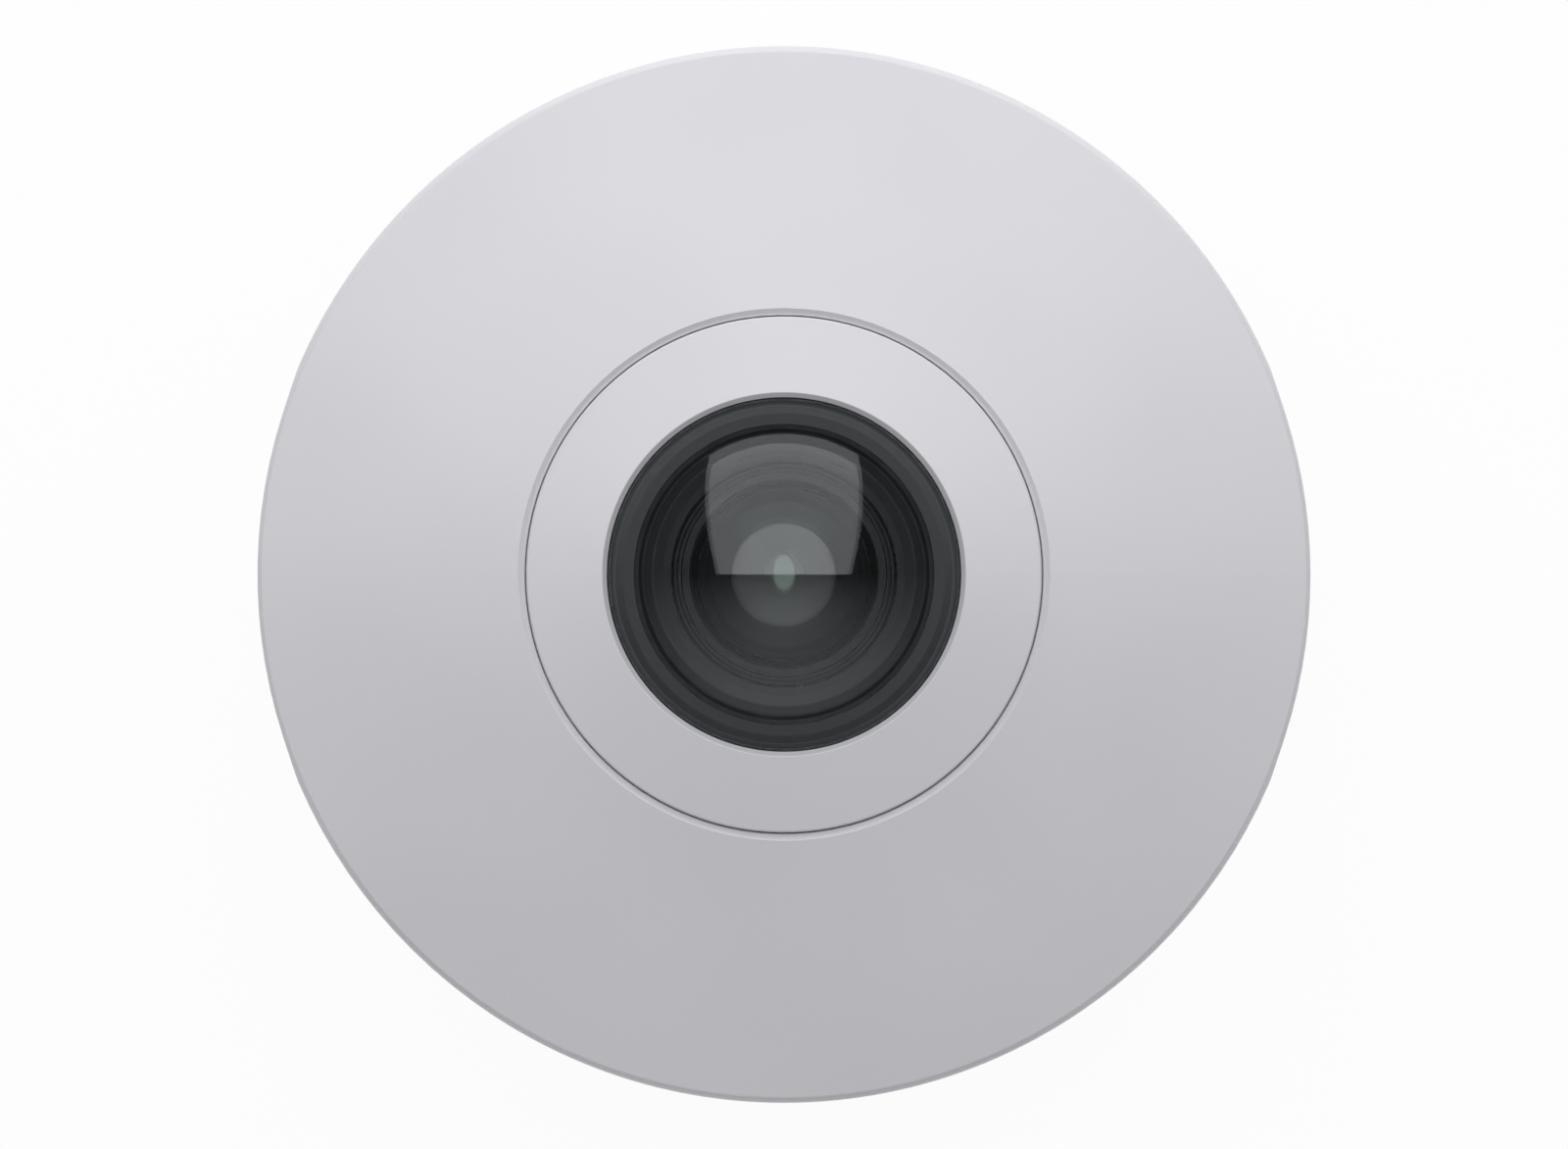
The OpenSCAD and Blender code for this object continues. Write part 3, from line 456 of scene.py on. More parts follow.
def shielded_socket(name):
    """Tinned steel shield around a black moulded socket: bright and softly clouded outside, dull
    black in the mouth."""
    material, tree, where = start(name)
    low, high = corners("network_jack")
    # The mouth's half width, lowest and highest place, and distance from the front and the back
    half, bottom, top, front, back = 5.95, 2.55, 12.25, 0.25, 6
    mouth = inside_box(tree, where, (-half, low[1] + front, low[2] + bottom),
                       (half, high[1] - back, low[2] + top))
    cloud = grain(tree, where, 2.4, detail=3)
    brushed = grain(tree, where, 0.3, stretch=(1.0, 0.06, 1.0), detail=3)
    steel = two_tone(tree, cloud, ("#cdd0d3", "#b2b5b9"), brushed, (0.22, 0.36))
    outside = add(tree, "Math", {0: 1.0, 1: mouth}, operation="SUBTRACT")
    return cover_with(material, {**with_zone(tree, steel, mouth, "#15161a", 0.55),
                                 "Metallic": outside}, brushed, 0.002)


def taped_ferrite(name):
    """Sintered ferrite core, dull grey-black with a ground grain, around a winding in amber
    polyester tape whose turns show as darker overlaps."""
    material, tree, where = start(name)
    low, high = corners("power_transformer")
    core = (high[0] - low[0]) / 4
    tape = inside_box(tree, where, (low[0] + core, low[1] - 1, low[2] + core / 2 + 0.01),
                      (high[0] - core, high[1] + 1, high[2] - core / 2 - 0.01))
    ground = grain(tree, where, 0.25, detail=3)
    turns = stripes(tree, add(tree, "SeparateXYZ", {0: where}, out="Y"), 2.4, 0.16)
    amber = add(tree, "Mix", {0: turns, 6: "#d9a628", 7: "#a87a18"}, out=2, data_type="RGBA")
    ferrite = two_tone(tree, ground, ("#2b2c2e", "#3d3f42"), ground, (0.55, 0.72))
    return cover_with(material, {**with_zone(tree, ferrite, tape, amber, 0.22), "IOR": 1.6},
                      ground, 0.012)


def moulded_inductor(name):
    """Shielded inductor: a ferrite block whose round groove shows the turns of enamelled copper
    wire."""
    material, tree, where = start(name)
    high = corners("inductors")[1]
    around = from_nearest(tree, where, on_board(COILS))
    z = add(tree, "SeparateXYZ", {0: where}, out="Z")
    # The groove's middle radius, half width and depth, and how far its wire starts under the top
    middle, half, depth, gap = 1.82, 0.66, 0.95, 0.1
    groove = add(tree, "Math", {0: around, 1: middle, 2: half}, operation="COMPARE")
    above = add(tree, "Math", {0: z, 1: high[2] - depth}, operation="GREATER_THAN")
    under = add(tree, "Math", {0: z, 1: high[2] - gap}, operation="LESS_THAN")
    sunk = add(tree, "Math", {0: above, 1: under}, operation="MULTIPLY")
    wire = add(tree, "Math", {0: groove, 1: sunk}, operation="MULTIPLY")
    turns = ripples(tree, around, 0.3)
    copper = add(tree, "Mix", {0: turns, 6: "#6a3416", 7: "#b9692f"}, out=2, data_type="RGBA")
    ground = grain(tree, where, 0.25, detail=3)
    ferrite = two_tone(tree, ground, ("#2f3134", "#424548"), ground, (0.55, 0.7))
    metal = add(tree, "Math", {0: wire, 1: 0.6}, operation="MULTIPLY")
    return cover_with(material, {**with_zone(tree, ferrite, wire, copper, 0.3), "Metallic": metal},
                      ground, 0.01)


def aluminium_cans(name):
    """Electrolytic capacitors: drawn aluminium cans with faint draw lines, a pressed vent cross, a
    dark half-moon on the negative side and a black base plate."""
    material, tree, where = start(name)
    low, high = corners("capacitors")
    places = on_board(CANS)
    x, y, z = (add(tree, "SeparateXYZ", {0: where}, out=i) for i in range(3))
    around = from_nearest(tree, where, places)
    top = add(tree, "Math", {0: z, 1: high[2] - 0.05}, operation="GREATER_THAN")
    base = add(tree, "Math", {0: z, 1: low[2] + 0.6}, operation="LESS_THAN")
    # The half-moon is what a larger circle, set off to one side, leaves of the top.
    aside, circle = 6, 6.9
    beside = from_nearest(tree, where, [(a + aside, b) for a, b in places])
    moon = add(tree, "Math", {0: beside, 1: circle}, operation="GREATER_THAN")
    upper = add(tree, "Math", {0: z, 1: high[2] - 0.5}, operation="GREATER_THAN")
    moon = add(tree, "Math", {0: moon, 1: upper}, operation="MULTIPLY")
    # The vent is a cross of fine lines.
    half_line, reach = 0.09, 2.0
    arms = 0.0
    for a, b in places:
        for part, middle in ((x, a), (y, b)):
            arm = add(tree, "Math", {0: part, 1: middle, 2: half_line}, operation="COMPARE")
            arms = add(tree, "Math", {0: arm, 1: arms}, operation="MAXIMUM")
    short = add(tree, "Math", {0: around, 1: reach}, operation="LESS_THAN")
    near = add(tree, "Math", {0: short, 1: top}, operation="MULTIPLY")
    vent = add(tree, "Math", {0: arms, 1: near}, operation="MULTIPLY")
    drawn = grain(tree, where, 0.3, stretch=(1.0, 1.0, 0.08), detail=3)
    metal = two_tone(tree, drawn, ("#c9cbcd", "#b3b5b8"), drawn, (0.24, 0.36))
    dark = add(tree, "Math", {0: moon, 1: base}, operation="MAXIMUM")
    bright = add(tree, "Math", {0: 1.0, 1: dark}, operation="SUBTRACT")
    return cover_with(material, {**with_zone(tree, metal, dark, "#1b1c20", 0.5),
                                 "Metallic": bright},
                      add(tree, "Math", {0: 1.0, 1: vent}, operation="SUBTRACT"), 0.12)


def latched_connector(name):
    """Flat-cable connector: ivory liquid-crystal polymer with a dark flip latch and a row of tinned
    contact tails at half-millimetre pitch."""
    material, tree, where = start(name)
    low, high = corners("flex_connectors")
    z = add(tree, "SeparateXYZ", {0: where}, out="Z")
    tails = stripes(tree, add(tree, "SeparateXYZ", {0: where}, out="X"), 0.5, 0.45)
    # One connector stands on the main board and one hangs from the sensor board, so a level, given
    # by its middle and half height, counts from the lowest and from the highest place.
    latch, foot = (add(tree, "Math", {
        0: add(tree, "Math", {0: z, 1: low[2] + level, 2: half}, operation="COMPARE"),
        1: add(tree, "Math", {0: z, 1: high[2] - level, 2: half}, operation="COMPARE")},
        operation="MAXIMUM") for level, half in ((1.35, 0.3), (0.15, 0.2)))
    metal = add(tree, "Math", {0: tails, 1: foot}, operation="MULTIPLY")
    cloud = grain(tree, where, 1.5, detail=3)
    ivory = add(tree, "Mix", {0: cloud, 6: "#e9e4d2", 7: "#dfd9c4"}, out=2, data_type="RGBA")
    body = add(tree, "Mix", {0: latch, 6: ivory, 7: "#2a2523"}, out=2, data_type="RGBA")
    return cover_with(material, {
        "Base Color": add(tree, "Mix", {0: metal, 6: body, 7: "#c2c4c6"}, out=2, data_type="RGBA"),
        "Metallic": metal,
        "Roughness": add(tree, "MapRange", {"Value": cloud, "To Min": 0.38, "To Max": 0.5}),
        "IOR": 1.6}, tails, 0.01)


def flat_cable(name):
    """Polyester flat cable: satin white film over tinned copper strips, which show through as
    greyer lines at half-millimetre pitch."""
    material, tree, where = start(name)
    strips = stripes(tree, add(tree, "SeparateXYZ", {0: where}, out="X"), 0.5, 0.55)
    cloud = grain(tree, where, 2.0)
    film = add(tree, "Mix", {0: cloud, 6: "#e8e8e4", 7: "#dddcd6"}, out=2, data_type="RGBA")
    faint = add(tree, "Math", {0: strips, 1: 0.6}, operation="MULTIPLY")
    return cover_with(material, {
        "Base Color": add(tree, "Mix", {0: faint, 6: film, 7: "#a9acae"}, out=2, data_type="RGBA"),
        "Roughness": add(tree, "MapRange", {"Value": cloud, "To Min": 0.28, "To Max": 0.4}),
        "IOR": 1.6}, strips, 0.02)


def sensor_package(name):
    """Ceramic sensor package: dark fired body, gold bond pads round the window, and a silicon die
    that shimmers from violet to green."""
    material, tree, where = start(name)
    top = corners("image_sensor")[1][2]
    # The die, its active part and the frame round it, by their half sizes and their levels
    die, active, rim = (
        inside_box(tree, where, (-x, -y, top + low), (x, y, top + high)) for x, y, low, high in (
            (3.2, 3.2, -0.4, -0.2), (2.7, 2.1, -0.4, -0.2), (3.9, 3.9, -0.1, 0.1)))
    along, across = (stripes(tree, add(tree, "SeparateXYZ", {0: where}, out=i), 0.6)
                     for i in range(2))
    ticks = add(tree, "Math", {0: along, 1: across}, operation="MULTIPLY")
    pads = add(tree, "Math", {0: rim, 1: ticks}, operation="MULTIPLY")
    facing = add(tree, "LayerWeight", {"Blend": 0.5}, out="Facing")
    shimmer = add(tree, "Mix", {0: facing, 6: "#3a2f5c", 7: "#2f5c4c"}, out=2, data_type="RGBA")
    fired = grain(tree, where, 0.4, detail=3)
    colour = add(tree, "Mix", {0: fired, 6: "#3b3942", 7: "#47454f"}, out=2, data_type="RGBA")
    for zone, tint in ((die, "#25232c"), (active, shimmer), (pads, "#d8b25e")):
        colour = add(tree, "Mix", {0: zone, 6: colour, 7: tint}, out=2, data_type="RGBA")
    metal = add(tree, "Math", {0: pads, 1: active}, operation="MAXIMUM")
    gloss = add(tree, "Mix", {0: die, 2: 0.55, 3: 0.15}, data_type="FLOAT")
    return cover_with(material, {"Base Color": colour, "Metallic": metal, "Roughness": gloss},
                      fired, 0.004)


def tactile_switch(name):
    """Push switch: black glass-filled body under a pressed steel plate, which is its top outside
    the round hole of the plunger."""
    material, tree, where = start(name)
    low, high = corners("button_switch")
    plate_wall, hole = 0.3, 2.1
    z = add(tree, "SeparateXYZ", {0: where}, out="Z")
    top = add(tree, "Math", {0: z, 1: high[2] - plate_wall}, operation="GREATER_THAN")
    middle = from_axis(tree, where, ((low[0] + high[0]) / 2, (low[1] + high[1]) / 2))
    outer = add(tree, "Math", {0: middle, 1: hole}, operation="GREATER_THAN")
    plate = add(tree, "Math", {0: top, 1: outer}, operation="MULTIPLY")
    fine = grain(tree, where, 0.3, detail=3)
    black = two_tone(tree, fine, ("#1b1c1f", "#2a2c2f"), fine, (0.5, 0.62))
    return cover_with(material, {**with_zone(tree, black, plate, "#c3c5c8", 0.3),
                                 "Metallic": plate}, fine, 0.006)


def milky_diode(name):
    """Light-emitting diode, unlit: a milky resin block on a white base."""
    material, tree, where = start(name)
    low, high = corners("status_led")
    z = add(tree, "SeparateXYZ", {0: where}, out="Z")
    resin = add(tree, "Math", {0: z, 1: (low[2] + high[2]) / 2}, operation="GREATER_THAN")
    cloud = grain(tree, where, 0.5)
    milk = add(tree, "Mix", {0: cloud, 6: "#e6e3c0", 7: "#d9d59a"}, out=2, data_type="RGBA")
    return cover_with(material, {
        "Base Color": add(tree, "Mix", {0: resin, 6: "#ecebe6", 7: milk}, out=2, data_type="RGBA"),
        "Roughness": add(tree, "MapRange", {"Value": cloud, "To Min": 0.2, "To Max": 0.34}),
        "Subsurface Weight": 0.2, "Subsurface Scale": 0.0005, "IOR": 1.5})


# Pieces modelled here


def take(name):
    """Names the piece that was just added and puts its place into its mesh."""
    piece = bpy.context.object
    piece.name = piece.data.name = name
    bpy.ops.object.transform_apply(location=True, rotation=True, scale=True)
    return piece


def block(name, size, place):
    """A new block, by its size and its middle in millimetres."""
    bpy.ops.object.select_all(action="DESELECT")
    bpy.ops.mesh.primitive_cube_add(size=1, scale=[s * MM for s in size],
                                    location=[p * MM for p in place])
    return take(name)


def mode(name):
    """Switches the active piece to EDIT or OBJECT mode."""
    bpy.ops.object.mode_set(mode=name)


def draw_out(step):
    """Draws out what is selected by a step in metres."""
    bpy.ops.mesh.extrude_region_move(TRANSFORM_OT_translate={"value": step})


def pick(piece, wanted):
    """Selects the vertices of a piece that a test wants, and nothing else."""
    bpy.ops.mesh.select_mode(type="VERT")
    bpy.ops.mesh.select_all(action="DESELECT")
    mode("OBJECT")
    for vertex in piece.data.vertices:
        vertex.select = wanted(vertex.co)
    mode("EDIT")


def ends_at(radius, height, centre):
    """Radius of a sphere at a height."""
    return math.sqrt(radius ** 2 - (height - centre) ** 2)


def cut_below(height):
    """Cuts off what is selected below a height."""
    bpy.ops.mesh.bisect(plane_co=(0, 0, height), plane_no=(0, 0, 1), clear_inner=True,
                        threshold=CUT_WITHIN)


def turned_shell(name, crown, outline, hollow=None):
    """A clear piece round the axis: a sphere is cut down to its crown, its edge is drawn out along
    an outline of radius and height, and a hollow or a flat closes it below."""
    centre, radius, height = crown
    bpy.ops.object.select_all(action="DESELECT")
    bpy.ops.mesh.primitive_uv_sphere_add(segments=TURNS, ring_count=RINGS, radius=radius,
                                         location=(0, 0, centre))
    piece = take(name)
    mode("EDIT")
    bpy.ops.mesh.select_all(action="SELECT")
    cut_below(height)
    edge = ends_at(radius, height, centre)
    pick(piece, lambda at: abs(at.z - height) < ON_EDGE_WITHIN)
    for next_edge, next_height in outline:
        draw_out((0, 0, next_height - height))
        share = next_edge / edge
        bpy.ops.transform.resize(value=(share, share, 1), center_override=(0, 0, next_height))
        edge, height = next_edge, next_height
    if hollow is None:
        bpy.ops.mesh.edge_face_add()
    else:
        centre, radius = hollow
        bpy.ops.mesh.select_all(action="DESELECT")
        bpy.ops.mesh.primitive_uv_sphere_add(segments=TURNS, ring_count=RINGS, radius=radius,
                                             location=(0, 0, centre))
        cut_below(height)
    bpy.ops.mesh.select_all(action="SELECT")
    bpy.ops.mesh.remove_doubles(threshold=SAME_WITHIN)
    bpy.ops.mesh.normals_make_consistent(inside=False)
    mode("OBJECT")
    bpy.ops.object.shade_smooth_by_angle(angle=math.radians(30))
    return piece


def dress(piece, body, slot, *materials):
    """Gives a new piece its materials and the body that carries it; its slot in the record is not
    used.
    """
    piece.data.materials.clear()
    for material in materials:
        piece.data.materials.append(material)
    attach(piece, body)


def clear_pieces():
    """The dome and the three lens groups behind it."""
    low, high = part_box("dome_window")
    centre = high.z - DOME_R
    flange = low.z + DOME_FLANGE
    inner = DOME_R - DOME_WALL
    dome = turned_shell("dome_shell", (centre, DOME_R, flange), [
        (high.x, flange), (high.x, low.z), (ends_at(inner, low.z, centre), low.z)], (centre, inner))
    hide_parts("dome_window")
    # Injection-moulded polycarbonate with a hard coat: water-clear, and it mirrors the soft card
    dress(dome, "camera", "dome_clear",
          clear_piece("hard_coated_polycarbonate", "#fdfefe", POLYCARBONATE_IOR, "#c2c5c7"))

    low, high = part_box("front_element")
    centre = high.z - FRONT_CURVE
    hollow = high.z - FRONT_WALL - FRONT_HOLLOW
    shoulder = centre + math.sqrt(FRONT_CURVE ** 2 - high.x ** 2)
    front = turned_shell("front_lens", (centre, FRONT_CURVE, shoulder), [
        (high.x, low.z), (ends_at(FRONT_HOLLOW, low.z, hollow), low.z)], (hollow, FRONT_HOLLOW))
    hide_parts("front_element")
    # Ground optical glass with a broadband coat: nearly without a mirror image
    dress(front, "camera", "lens_glass",
          clear_piece("coated_front_glass", "#f8faf9", 1.5, "#50605a"))

    low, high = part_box("second_element")
    curve = (high.x ** 2 + SECOND_CROWN ** 2) / (2 * SECOND_CROWN)
    second = turned_shell("second_lens", (high.z - curve, curve, high.z - SECOND_CROWN),
                          [(high.x, low.z)])
    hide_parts("second_element")
    # Coated optical glass over the dark rear group. Its veil stands in for the mirror images of
    # the many inner faces, and its core for the green one in the middle.
    dress(second, "camera", "lens_glass",
          clear_piece("coated_second_glass", "#a8a8a8", 1.52, "#fbfafb", veil=0.29,
                      core=(1.15, "#bcd0c6", 0.7)))

    low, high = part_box("rear_elements")
    centre = high.z - REAR_CURVE
    shoulder = centre + math.sqrt(REAR_CURVE ** 2 - REAR_CAP ** 2)
    back = low.z + REAR_BACK_CURVE - math.sqrt(REAR_BACK_CURVE ** 2 - high.x ** 2)
    # Its back is rounded in two steps.
    rear = turned_shell("rear_lens_group", (centre, REAR_CURVE, shoulder), [
        (high.x, shoulder), (high.x, back), (0.75 * high.x, low.z + 0.55 * (back - low.z)),
        (0.3 * high.x, low.z + 0.1 * (back - low.z))])
    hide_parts("rear_elements")
    # Cemented glass behind the stop, with a green coat. From above it stays nearly black.
    dress(rear, "camera", "lens_glass",
          clear_piece("green_coated_rear_glass", "#303634", 1.7, "#a8dcc0", veil=0.25))


def chip_block():
    """One chip resistor: a ceramic body between two tinned ends that stand a little proud."""
    piece = block("chip_resistor", (2.0, 1.25, 0.55), (0, 0, 0.3))
    ends = 0.62 * MM
    mode("EDIT")
    for side in (-1, 1):
        bpy.ops.mesh.select_all(action="SELECT")
        bpy.ops.mesh.bisect(plane_co=(side * ends, 0, 0), plane_no=(1, 0, 0), threshold=CUT_WITHIN)
    mode("OBJECT")
    for face in piece.data.polygons:
        face.select = abs(face.center.x) > ends
        face.material_index = 1 if face.select else 0
    mode("EDIT")
    bpy.ops.mesh.select_mode(type="FACE")
    bpy.ops.mesh.extrude_region_shrink_fatten(TRANSFORM_OT_shrink_fatten={"value": 0.03 * MM})
    mode("OBJECT")
    round_edges(piece, 0.05)
    return piece


def round_edges(piece, width):
    """Rounds the sharp edges of a piece by a width in millimetres."""
    bpy.ops.object.select_all(action="DESELECT")
    piece.select_set(True)
    bpy.context.view_layer.objects.active = piece
    soft = piece.modifiers.new("soft_edges", "BEVEL")
    soft.width = width * MM
    soft.segments = 2
    soft.limit_method = "ANGLE"
    bpy.ops.object.modifier_apply(modifier="soft_edges")
    bpy.ops.object.shade_smooth_by_angle(angle=math.radians(35))


def chip_with_legs():
    """One eight-legged chip: a drafted body and gull-wing legs."""
    leg = block("leg", (0.4, 0.3, 0.2), (-1.905, 1.95, 0.8))
    mode("EDIT")
    pick(leg, lambda at: at.y > 2.05 * MM)
    for step in ((0, 0.25, 0), (0, 0.22, -0.62), (0, 0.5, -0.02)):
        draw_out([s * MM for s in step])
    mode("OBJECT")
    for face in leg.data.polygons:
        face.material_index = 1
    legs = [leg] + [copy_of(leg, Matrix.Translation((i * 1.27 * MM, 0, 0))) for i in range(1, 4)]
    legs += [copy_of(each, Matrix.Rotation(math.pi, 4, "Z")) for each in legs]

    piece = block("legged_chip", (4.9, 3.9, 1.4), (0, 0, 0.85))
    mode("EDIT")
    bpy.ops.mesh.select_all(action="SELECT")
    bpy.ops.mesh.bisect(plane_co=(0, 0, 0.8 * MM), plane_no=(0, 0, 1), threshold=CUT_WITHIN)
    for level, side in ((1.2, 1), (0.4, -1)):
        pick(piece, lambda at: side * at.z > side * level * MM)
        bpy.ops.transform.resize(value=(0.95, 0.94, 1), center_override=(0, 0, level * MM))
    mode("OBJECT")
    round_edges(piece, 0.08)
    for each in legs:
        each.select_set(True)
    bpy.ops.object.join()
    return piece


def crystal_can():
    """One surface-mount crystal: a ceramic base under a seam-welded metal lid."""
    piece = block("crystal", (3.2, 5.0, 0.7), (0, 0, 0.4))
    mode("EDIT")
    pick(piece, lambda at: at.z > 0.6 * MM)
    bpy.ops.mesh.select_mode(type="FACE")
    bpy.ops.mesh.inset(thickness=0.18 * MM)
    draw_out((0, 0, 0.35 * MM))
    mode("OBJECT")
    for face in piece.data.polygons:
        face.material_index = 1 if face.center.z > 0.78 * MM else 0
    round_edges(piece, 0.08)
    return piece


def copy_of(piece, move):
    """A copy with its own mesh, moved in that mesh."""
    twin = piece.copy()
    twin.data = piece.data.copy()
    bpy.context.scene.collection.objects.link(twin)
    twin.data.transform(move)
    return twin


def set_out(piece, places, body, slot, *materials):
    """Puts a small part and its copies on the main board, each at x and y in millimetres and a turn
    in degrees."""
    moves = [Matrix.Translation((x * MM, y * MM, BOARD_TOP * MM)) @
             Matrix.Rotation(math.radians(turn), 4, "Z") for x, y, turn in places]
    for move in moves[1:]:
        dress(copy_of(piece, move), body, slot, *materials)
    piece.data.transform(moves[0])
    dress(piece, body, slot, *materials)


def small_parts():
    """Chip resistors and capacitors, two legged chips and a crystal on the main board."""
    tin = plated_steel("tin_dipped_ends", "#d3d4d2", "#bdbeba", 0.3)
    # Alumina body under black glaze, as on chip resistors
    glaze = etched_black("glazed_alumina", "#16171a", "#24262a", 0.35, 0.3)
    # Barium titanate body, as on chip capacitors
    titanate = glass_filled_plastic("fired_titanate", "#b79a72", "#9c7f58", 0.5)
    resistors = [(-9.8, -6, 90), (-9.8, -0.4, 90), (-9.8, 5.2, 90), (-24, -9.4, 0), (-5.4, 8.6, 0),
                 (0.8, 8.6, 0), (-2.4, 11, 0), (4, 11, 0), (15.8, 19.2, 90), (18.6, 8.2, 0),
                 (21.2, -9.2, 0), (-13.4, -23.4, 90), (8.6, 21.8, 90), (-27.6, 1.6, 90),
                 (27.4, -8.2, 90), (13.2, -21, 0)]
    ceramics = [(-9.8, -3.2, 90), (-9.8, 2.4, 90), (-21.4, -9.4, 0), (-11.6, -10.4, 90),
                (-2.4, 8.6, 0), (4, 8.6, 0), (0.8, 11, 0), (15.8, 22, 90), (21.3, 8.2, 0),
                (20.4, 12.6, 90), (23.9, -9.2, 0), (-15.6, -23.4, 90), (8.6, 18.8, 90),
                (-27.6, 4.2, 90), (8.4, 15.4, 0), (21, -14.4, 90)]
    chip = chip_block()
    twin = copy_of(chip, Matrix.Scale(1.35, 4, (0, 0, 1)))
    twin.name = twin.data.name = "chip_capacitor"
    set_out(chip, resistors, "camera", "chip_black", glaze, tin)
    set_out(twin, ceramics, "camera", "chip_black", titanate, tin)
    chips = [(16.5, -11, 0), (-17.8, -12.4, 180)]
    # Each dimple lies beside its chip's first leg.
    along, across = 1.8, 1.25
    dots = [(x - along, y - across) if turn == 0 else (x + along, y + across)
            for x, y, turn in chips]
    set_out(chip_with_legs(), chips, "camera", "chip_black",
            epoxy_package("moulded_epoxy_of_legged_chips", dots), tin)
    set_out(crystal_can(), [(10.9, -11.2, 0)], "camera", "shield_steel",
            etched_black("fired_black_alumina", "#26221f", "#332e2a", 0.5),
            plated_steel("nickel_plated_lid", "#cfcdc4", "#b9b7ae", 0.24))


# Finishes of the solids


def give(material, *names):
    """Puts one material on whole solids."""
    for name in names:
        data = NODES[name].data
        data.materials.clear()
        data.materials.append(material)


def finish_solids():
    """Each solid gets the finish of its real material."""
    give(textured_polycarbonate("textured_polycarbonate_shell", "#dadadc", "#d6d6d9"),
         "outer_cover")
    # The front's window lip gets painted shade: a grey band and a dark line round the opening.
    give(textured_polycarbonate("textured_polycarbonate_front", "#dadadc", "#d6d6d9", LIP_SHADE_BANDS),
         "front_housing")
    give(textured_polycarbonate("textured_polycarbonate_shutter", "#d4d4d7", "#cfcfd2"),
         "cable_shutter")
    give(glass_filled_plastic("glass_filled_plate", "#d6d7d9", "#c6c7ca", 0.58), "mounting_plate")
    give(glass_filled_plastic("glass_filled_tray", "#54575a", "#323436", 0.6), "chassis")

    # The baffle gets a paler band near its edge: painted light.
    give(etched_black("etched_baffle", "#0f1315", "#131719", 0.62, relief=0.0015,
                      painted_bands=BAFFLE_LIGHT_BANDS), "lens_baffle")
    give(etched_black("etched_holder", "#131415", "#1f2022", 0.6), "lens_holder")
    give(etched_black("etched_card", "#15161a", "#212328", 0.45, 0.35), "memory_card")
    give(etched_black("polished_button", "#101114", "#1b1c20", 0.3, 0.3), "control_button")
    # The bezel gets a paler band: a painted highlight.
    give(satin_ring_plastic("satin_black_bezel", "#101416", "#171b1d", BEZEL_HIGHLIGHT_BANDS), "bezel_ring")
    give(silicone("black_silicone_gasket", "#121314", "#232426", 0.6), "dome_gasket")
    give(silicone("thermal_silicone_pad", "#a7bac8", "#b9c9d4", 0.7), "thermal_pad")

    # The ring's groove is painted near black and dull: painted shade.
    give(black_anodised_aluminium("black_anodised_ring", "#0f1314", "#161a1b", 0.38, 0.25,
                                  shine=0.4, groove=RING_GROOVE_SHADE), "lens_ring")
    give(black_anodised_aluminium("black_anodised_barrel", "#0f1314", "#171b1c", 0.4),
         "lens_barrel")
    give(black_anodised_aluminium("black_anodised_spacer", "#0f1314", "#121617", 0.55, 0.3,
                                  shine=0.15), "lens_spacer")
    give(black_anodised_aluminium("blackened_stop", "#0b0b0c", "#141415", 0.5, 0.4, upright=False),
         "aperture_stop")

    give(plated_steel("zinc_plated_screws", "#cbd0d4", "#b0b3b2", 0.3), "lock_screw",
         "board_screws", "housing_screws", "sensor_screws")
    give(rolled_steel("rolled_spring_steel", "#cfd0d1", "#b8babc", (0.12, 0.12, 3.0)),
         "cover_springs")
    give(rolled_steel("pressed_stainless_shell", "#c9cbcc", "#b4b6b8", (0.08, 1.6, 1.6)),
         "card_slot")
    give(gold_contacts("gold_plated_contacts"), "jack_contacts")
    give(extruded_aluminium("extruded_heat_sink_aluminium"), "heat_sink")

    inner = SENSOR_SCREWS_AT * math.sqrt(0.5)
    give(solder_masked_board("solder_masked_main_board", on_board(BOARD_SCREWS), screw_pad=3.0),
         "main_board")
    give(solder_masked_board("solder_masked_sensor_board",
                             [(sx * inner, sy * inner) for sx in (-1, 1) for sy in (-1, 1)],
                             screw_pad=2.5), "sensor_board")
    side = MEMORY_SIDE * BOARD_R
    dots = [(x - 0.4 * side, y - 0.3 * side) for x, y in on_board(MEMORIES)]
    give(epoxy_package("moulded_epoxy_of_memory", dots), "memory_chips")
    low = corners("processor")[0]
    give(epoxy_package("moulded_epoxy_of_processor", [(low[0] + 1.2, low[1] + 1.2)]), "processor")
    give(shielded_socket("tinned_shield_and_socket"), "network_jack")
    give(taped_ferrite("ferrite_and_tape"), "power_transformer")
    give(moulded_inductor("ferrite_and_copper"), "inductors")
    give(aluminium_cans("drawn_aluminium_cans"), "capacitors")
    give(latched_connector("ivory_connector"), "flex_connectors")
    give(flat_cable("polyester_flat_cable"), "flex_cable")
    give(sensor_package("ceramic_sensor_package"), "image_sensor")
    give(tactile_switch("steel_topped_switch"), "button_switch")
    give(milky_diode("milky_diode_resin"), "status_led")
    # Blue-green absorbing glass whose coat mirrors a little red
    give(clear_piece("infrared_filter_glass", "#9fd8cc", 1.52, "#f0b8b0"), "infrared_filter")


# Floor, light and camera


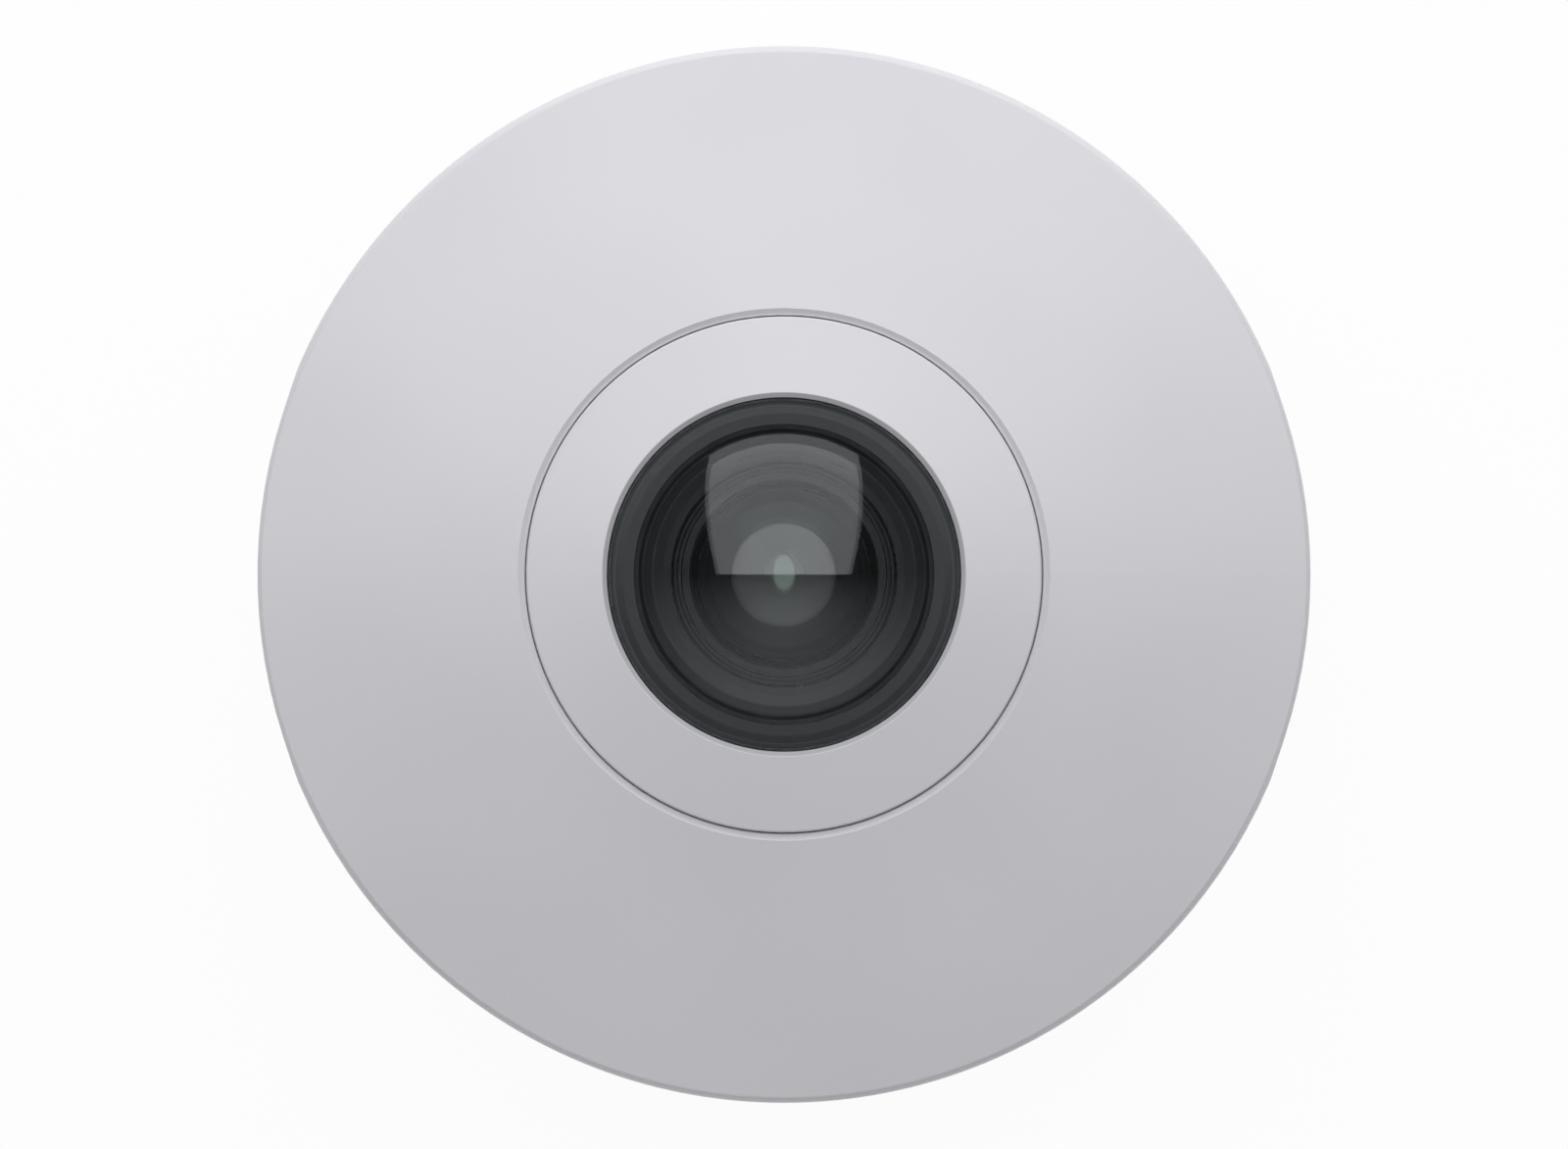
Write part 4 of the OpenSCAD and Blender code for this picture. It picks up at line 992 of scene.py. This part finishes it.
def pale_floor():
    """White paper that looks evenly white and still takes the object's shadow."""
    bpy.ops.object.select_all(action="DESELECT")
    bpy.ops.mesh.primitive_plane_add(size=FLOOR_SIDE, location=(0, 0, -FLOOR_GAP))
    floor = take("studio_floor")
    material, tree = start("white_seamless_paper")[:2]
    paper = add(tree, "BsdfDiffuse", {"Color": "#f2f2f3"})
    white = add(tree, "Emission", {"Color": "#ffffff", "Strength": 1.0})
    seen = 0.0
    for ray in ("Is Camera Ray", "Is Glossy Ray", "Is Transmission Ray"):
        seen = add(tree, "Math", {0: add(tree, "LightPath", out=ray), 1: seen},
                   operation="MAXIMUM")
    share = add(tree, "Math", {0: seen, 1: FLOOR_WHITE}, operation="MULTIPLY")
    add(tree, "OutputMaterial", {"Surface": add(tree, "MixShader", {0: share, 1: paper, 2: white})})
    floor.data.materials.append(material)


def soft_card():
    """A large lit cloth that leans over the +Y side, row by row from above the lens downwards."""
    half, reach, rise = (r * CARD_REACH for r in CARD_ROWS[0])
    bpy.ops.object.select_all(action="DESELECT")
    bpy.ops.mesh.primitive_plane_add(size=2 * half, location=(0, reach, rise))
    card = take("soft_card")
    mode("EDIT")
    pick(card, lambda at: at.y < reach)
    bpy.ops.mesh.delete(type="VERT")
    pick(card, lambda at: True)
    bpy.ops.transform.translate(value=(0, -half, 0))
    for row in CARD_ROWS[1:]:
        next_half, next_reach, next_rise = (r * CARD_REACH for r in row)
        draw_out((0, next_reach - reach, next_rise - rise))
        bpy.ops.transform.resize(value=(next_half / half, 1, 1),
                                 center_override=(0, next_reach, next_rise))
        half, reach, rise = next_half, next_reach, next_rise
    mode("OBJECT")
    material, tree, where = start("lit_diffusion_cloth")
    # The cloth is brighter near its low edge, where the lamp behind it stands.
    low_edge = add(tree, "MapRange", {
        "Value": add(tree, "SeparateXYZ", {0: where}, out="Z"), "From Min": CARD_FADES[0],
        "From Max": CARD_FADES[1], "To Min": CARD_STRENGTH[0], "To Max": CARD_STRENGTH[1]},
        interpolation_type="SMOOTHSTEP")
    lit = add(tree, "Emission", {"Color": "#fcfcff", "Strength": low_edge})
    add(tree, "OutputMaterial", {"Surface": lit})
    card.data.materials.append(material)
    card.visible_camera = False


def dim_room():
    """A room that is dark overhead and to the sides and pale behind -Y, which mirror images see
    paler still."""
    room = bpy.data.worlds.new("dim_studio")
    room.use_nodes = True
    tree = room.node_tree
    tree.nodes.clear()
    aim = add(tree, "TexCoord", out="Generated")
    flat = add(tree, "Math", {0: from_axis(tree, aim), 1: ROOM_FADES}, operation="MAXIMUM")
    behind = add(tree, "Math", {0: add(tree, "SeparateXYZ", {0: aim}, out="Y"), 1: flat},
                 operation="DIVIDE")
    mirrored = add(tree, "LightPath", out="Is Glossy Ray")
    dark, pale = (add(tree, "MapRange", {"Value": mirrored, "To Min": lit, "To Max": seen})
                  for lit, seen in (ROOM_DARK, ROOM_PALE))
    strength = add(tree, "MapRange", {"Value": behind, "From Min": 0.0, "From Max": -1.0,
                                      "To Min": dark, "To Max": pale})
    add(tree, "OutputWorld", {"Surface": add(tree, "Background", {"Color": "#f6f6fa",
                                                                 "Strength": strength})})
    bpy.context.scene.world = room


def set_camera():
    """The photograph's view, straight down the lens."""
    bpy.ops.object.camera_add(location=(0, 0, CAMERA_Z))
    camera = bpy.context.object
    camera.data.lens = CAMERA_LENS
    camera.data.sensor_width = 36
    camera.data.clip_start = 0.01
    bpy.context.scene.camera = camera
    bpy.context.scene.view_settings.view_transform = "Standard"


pale_floor()
soft_card()
dim_room()
set_camera()
finish_solids()
clear_pieces()
small_parts()
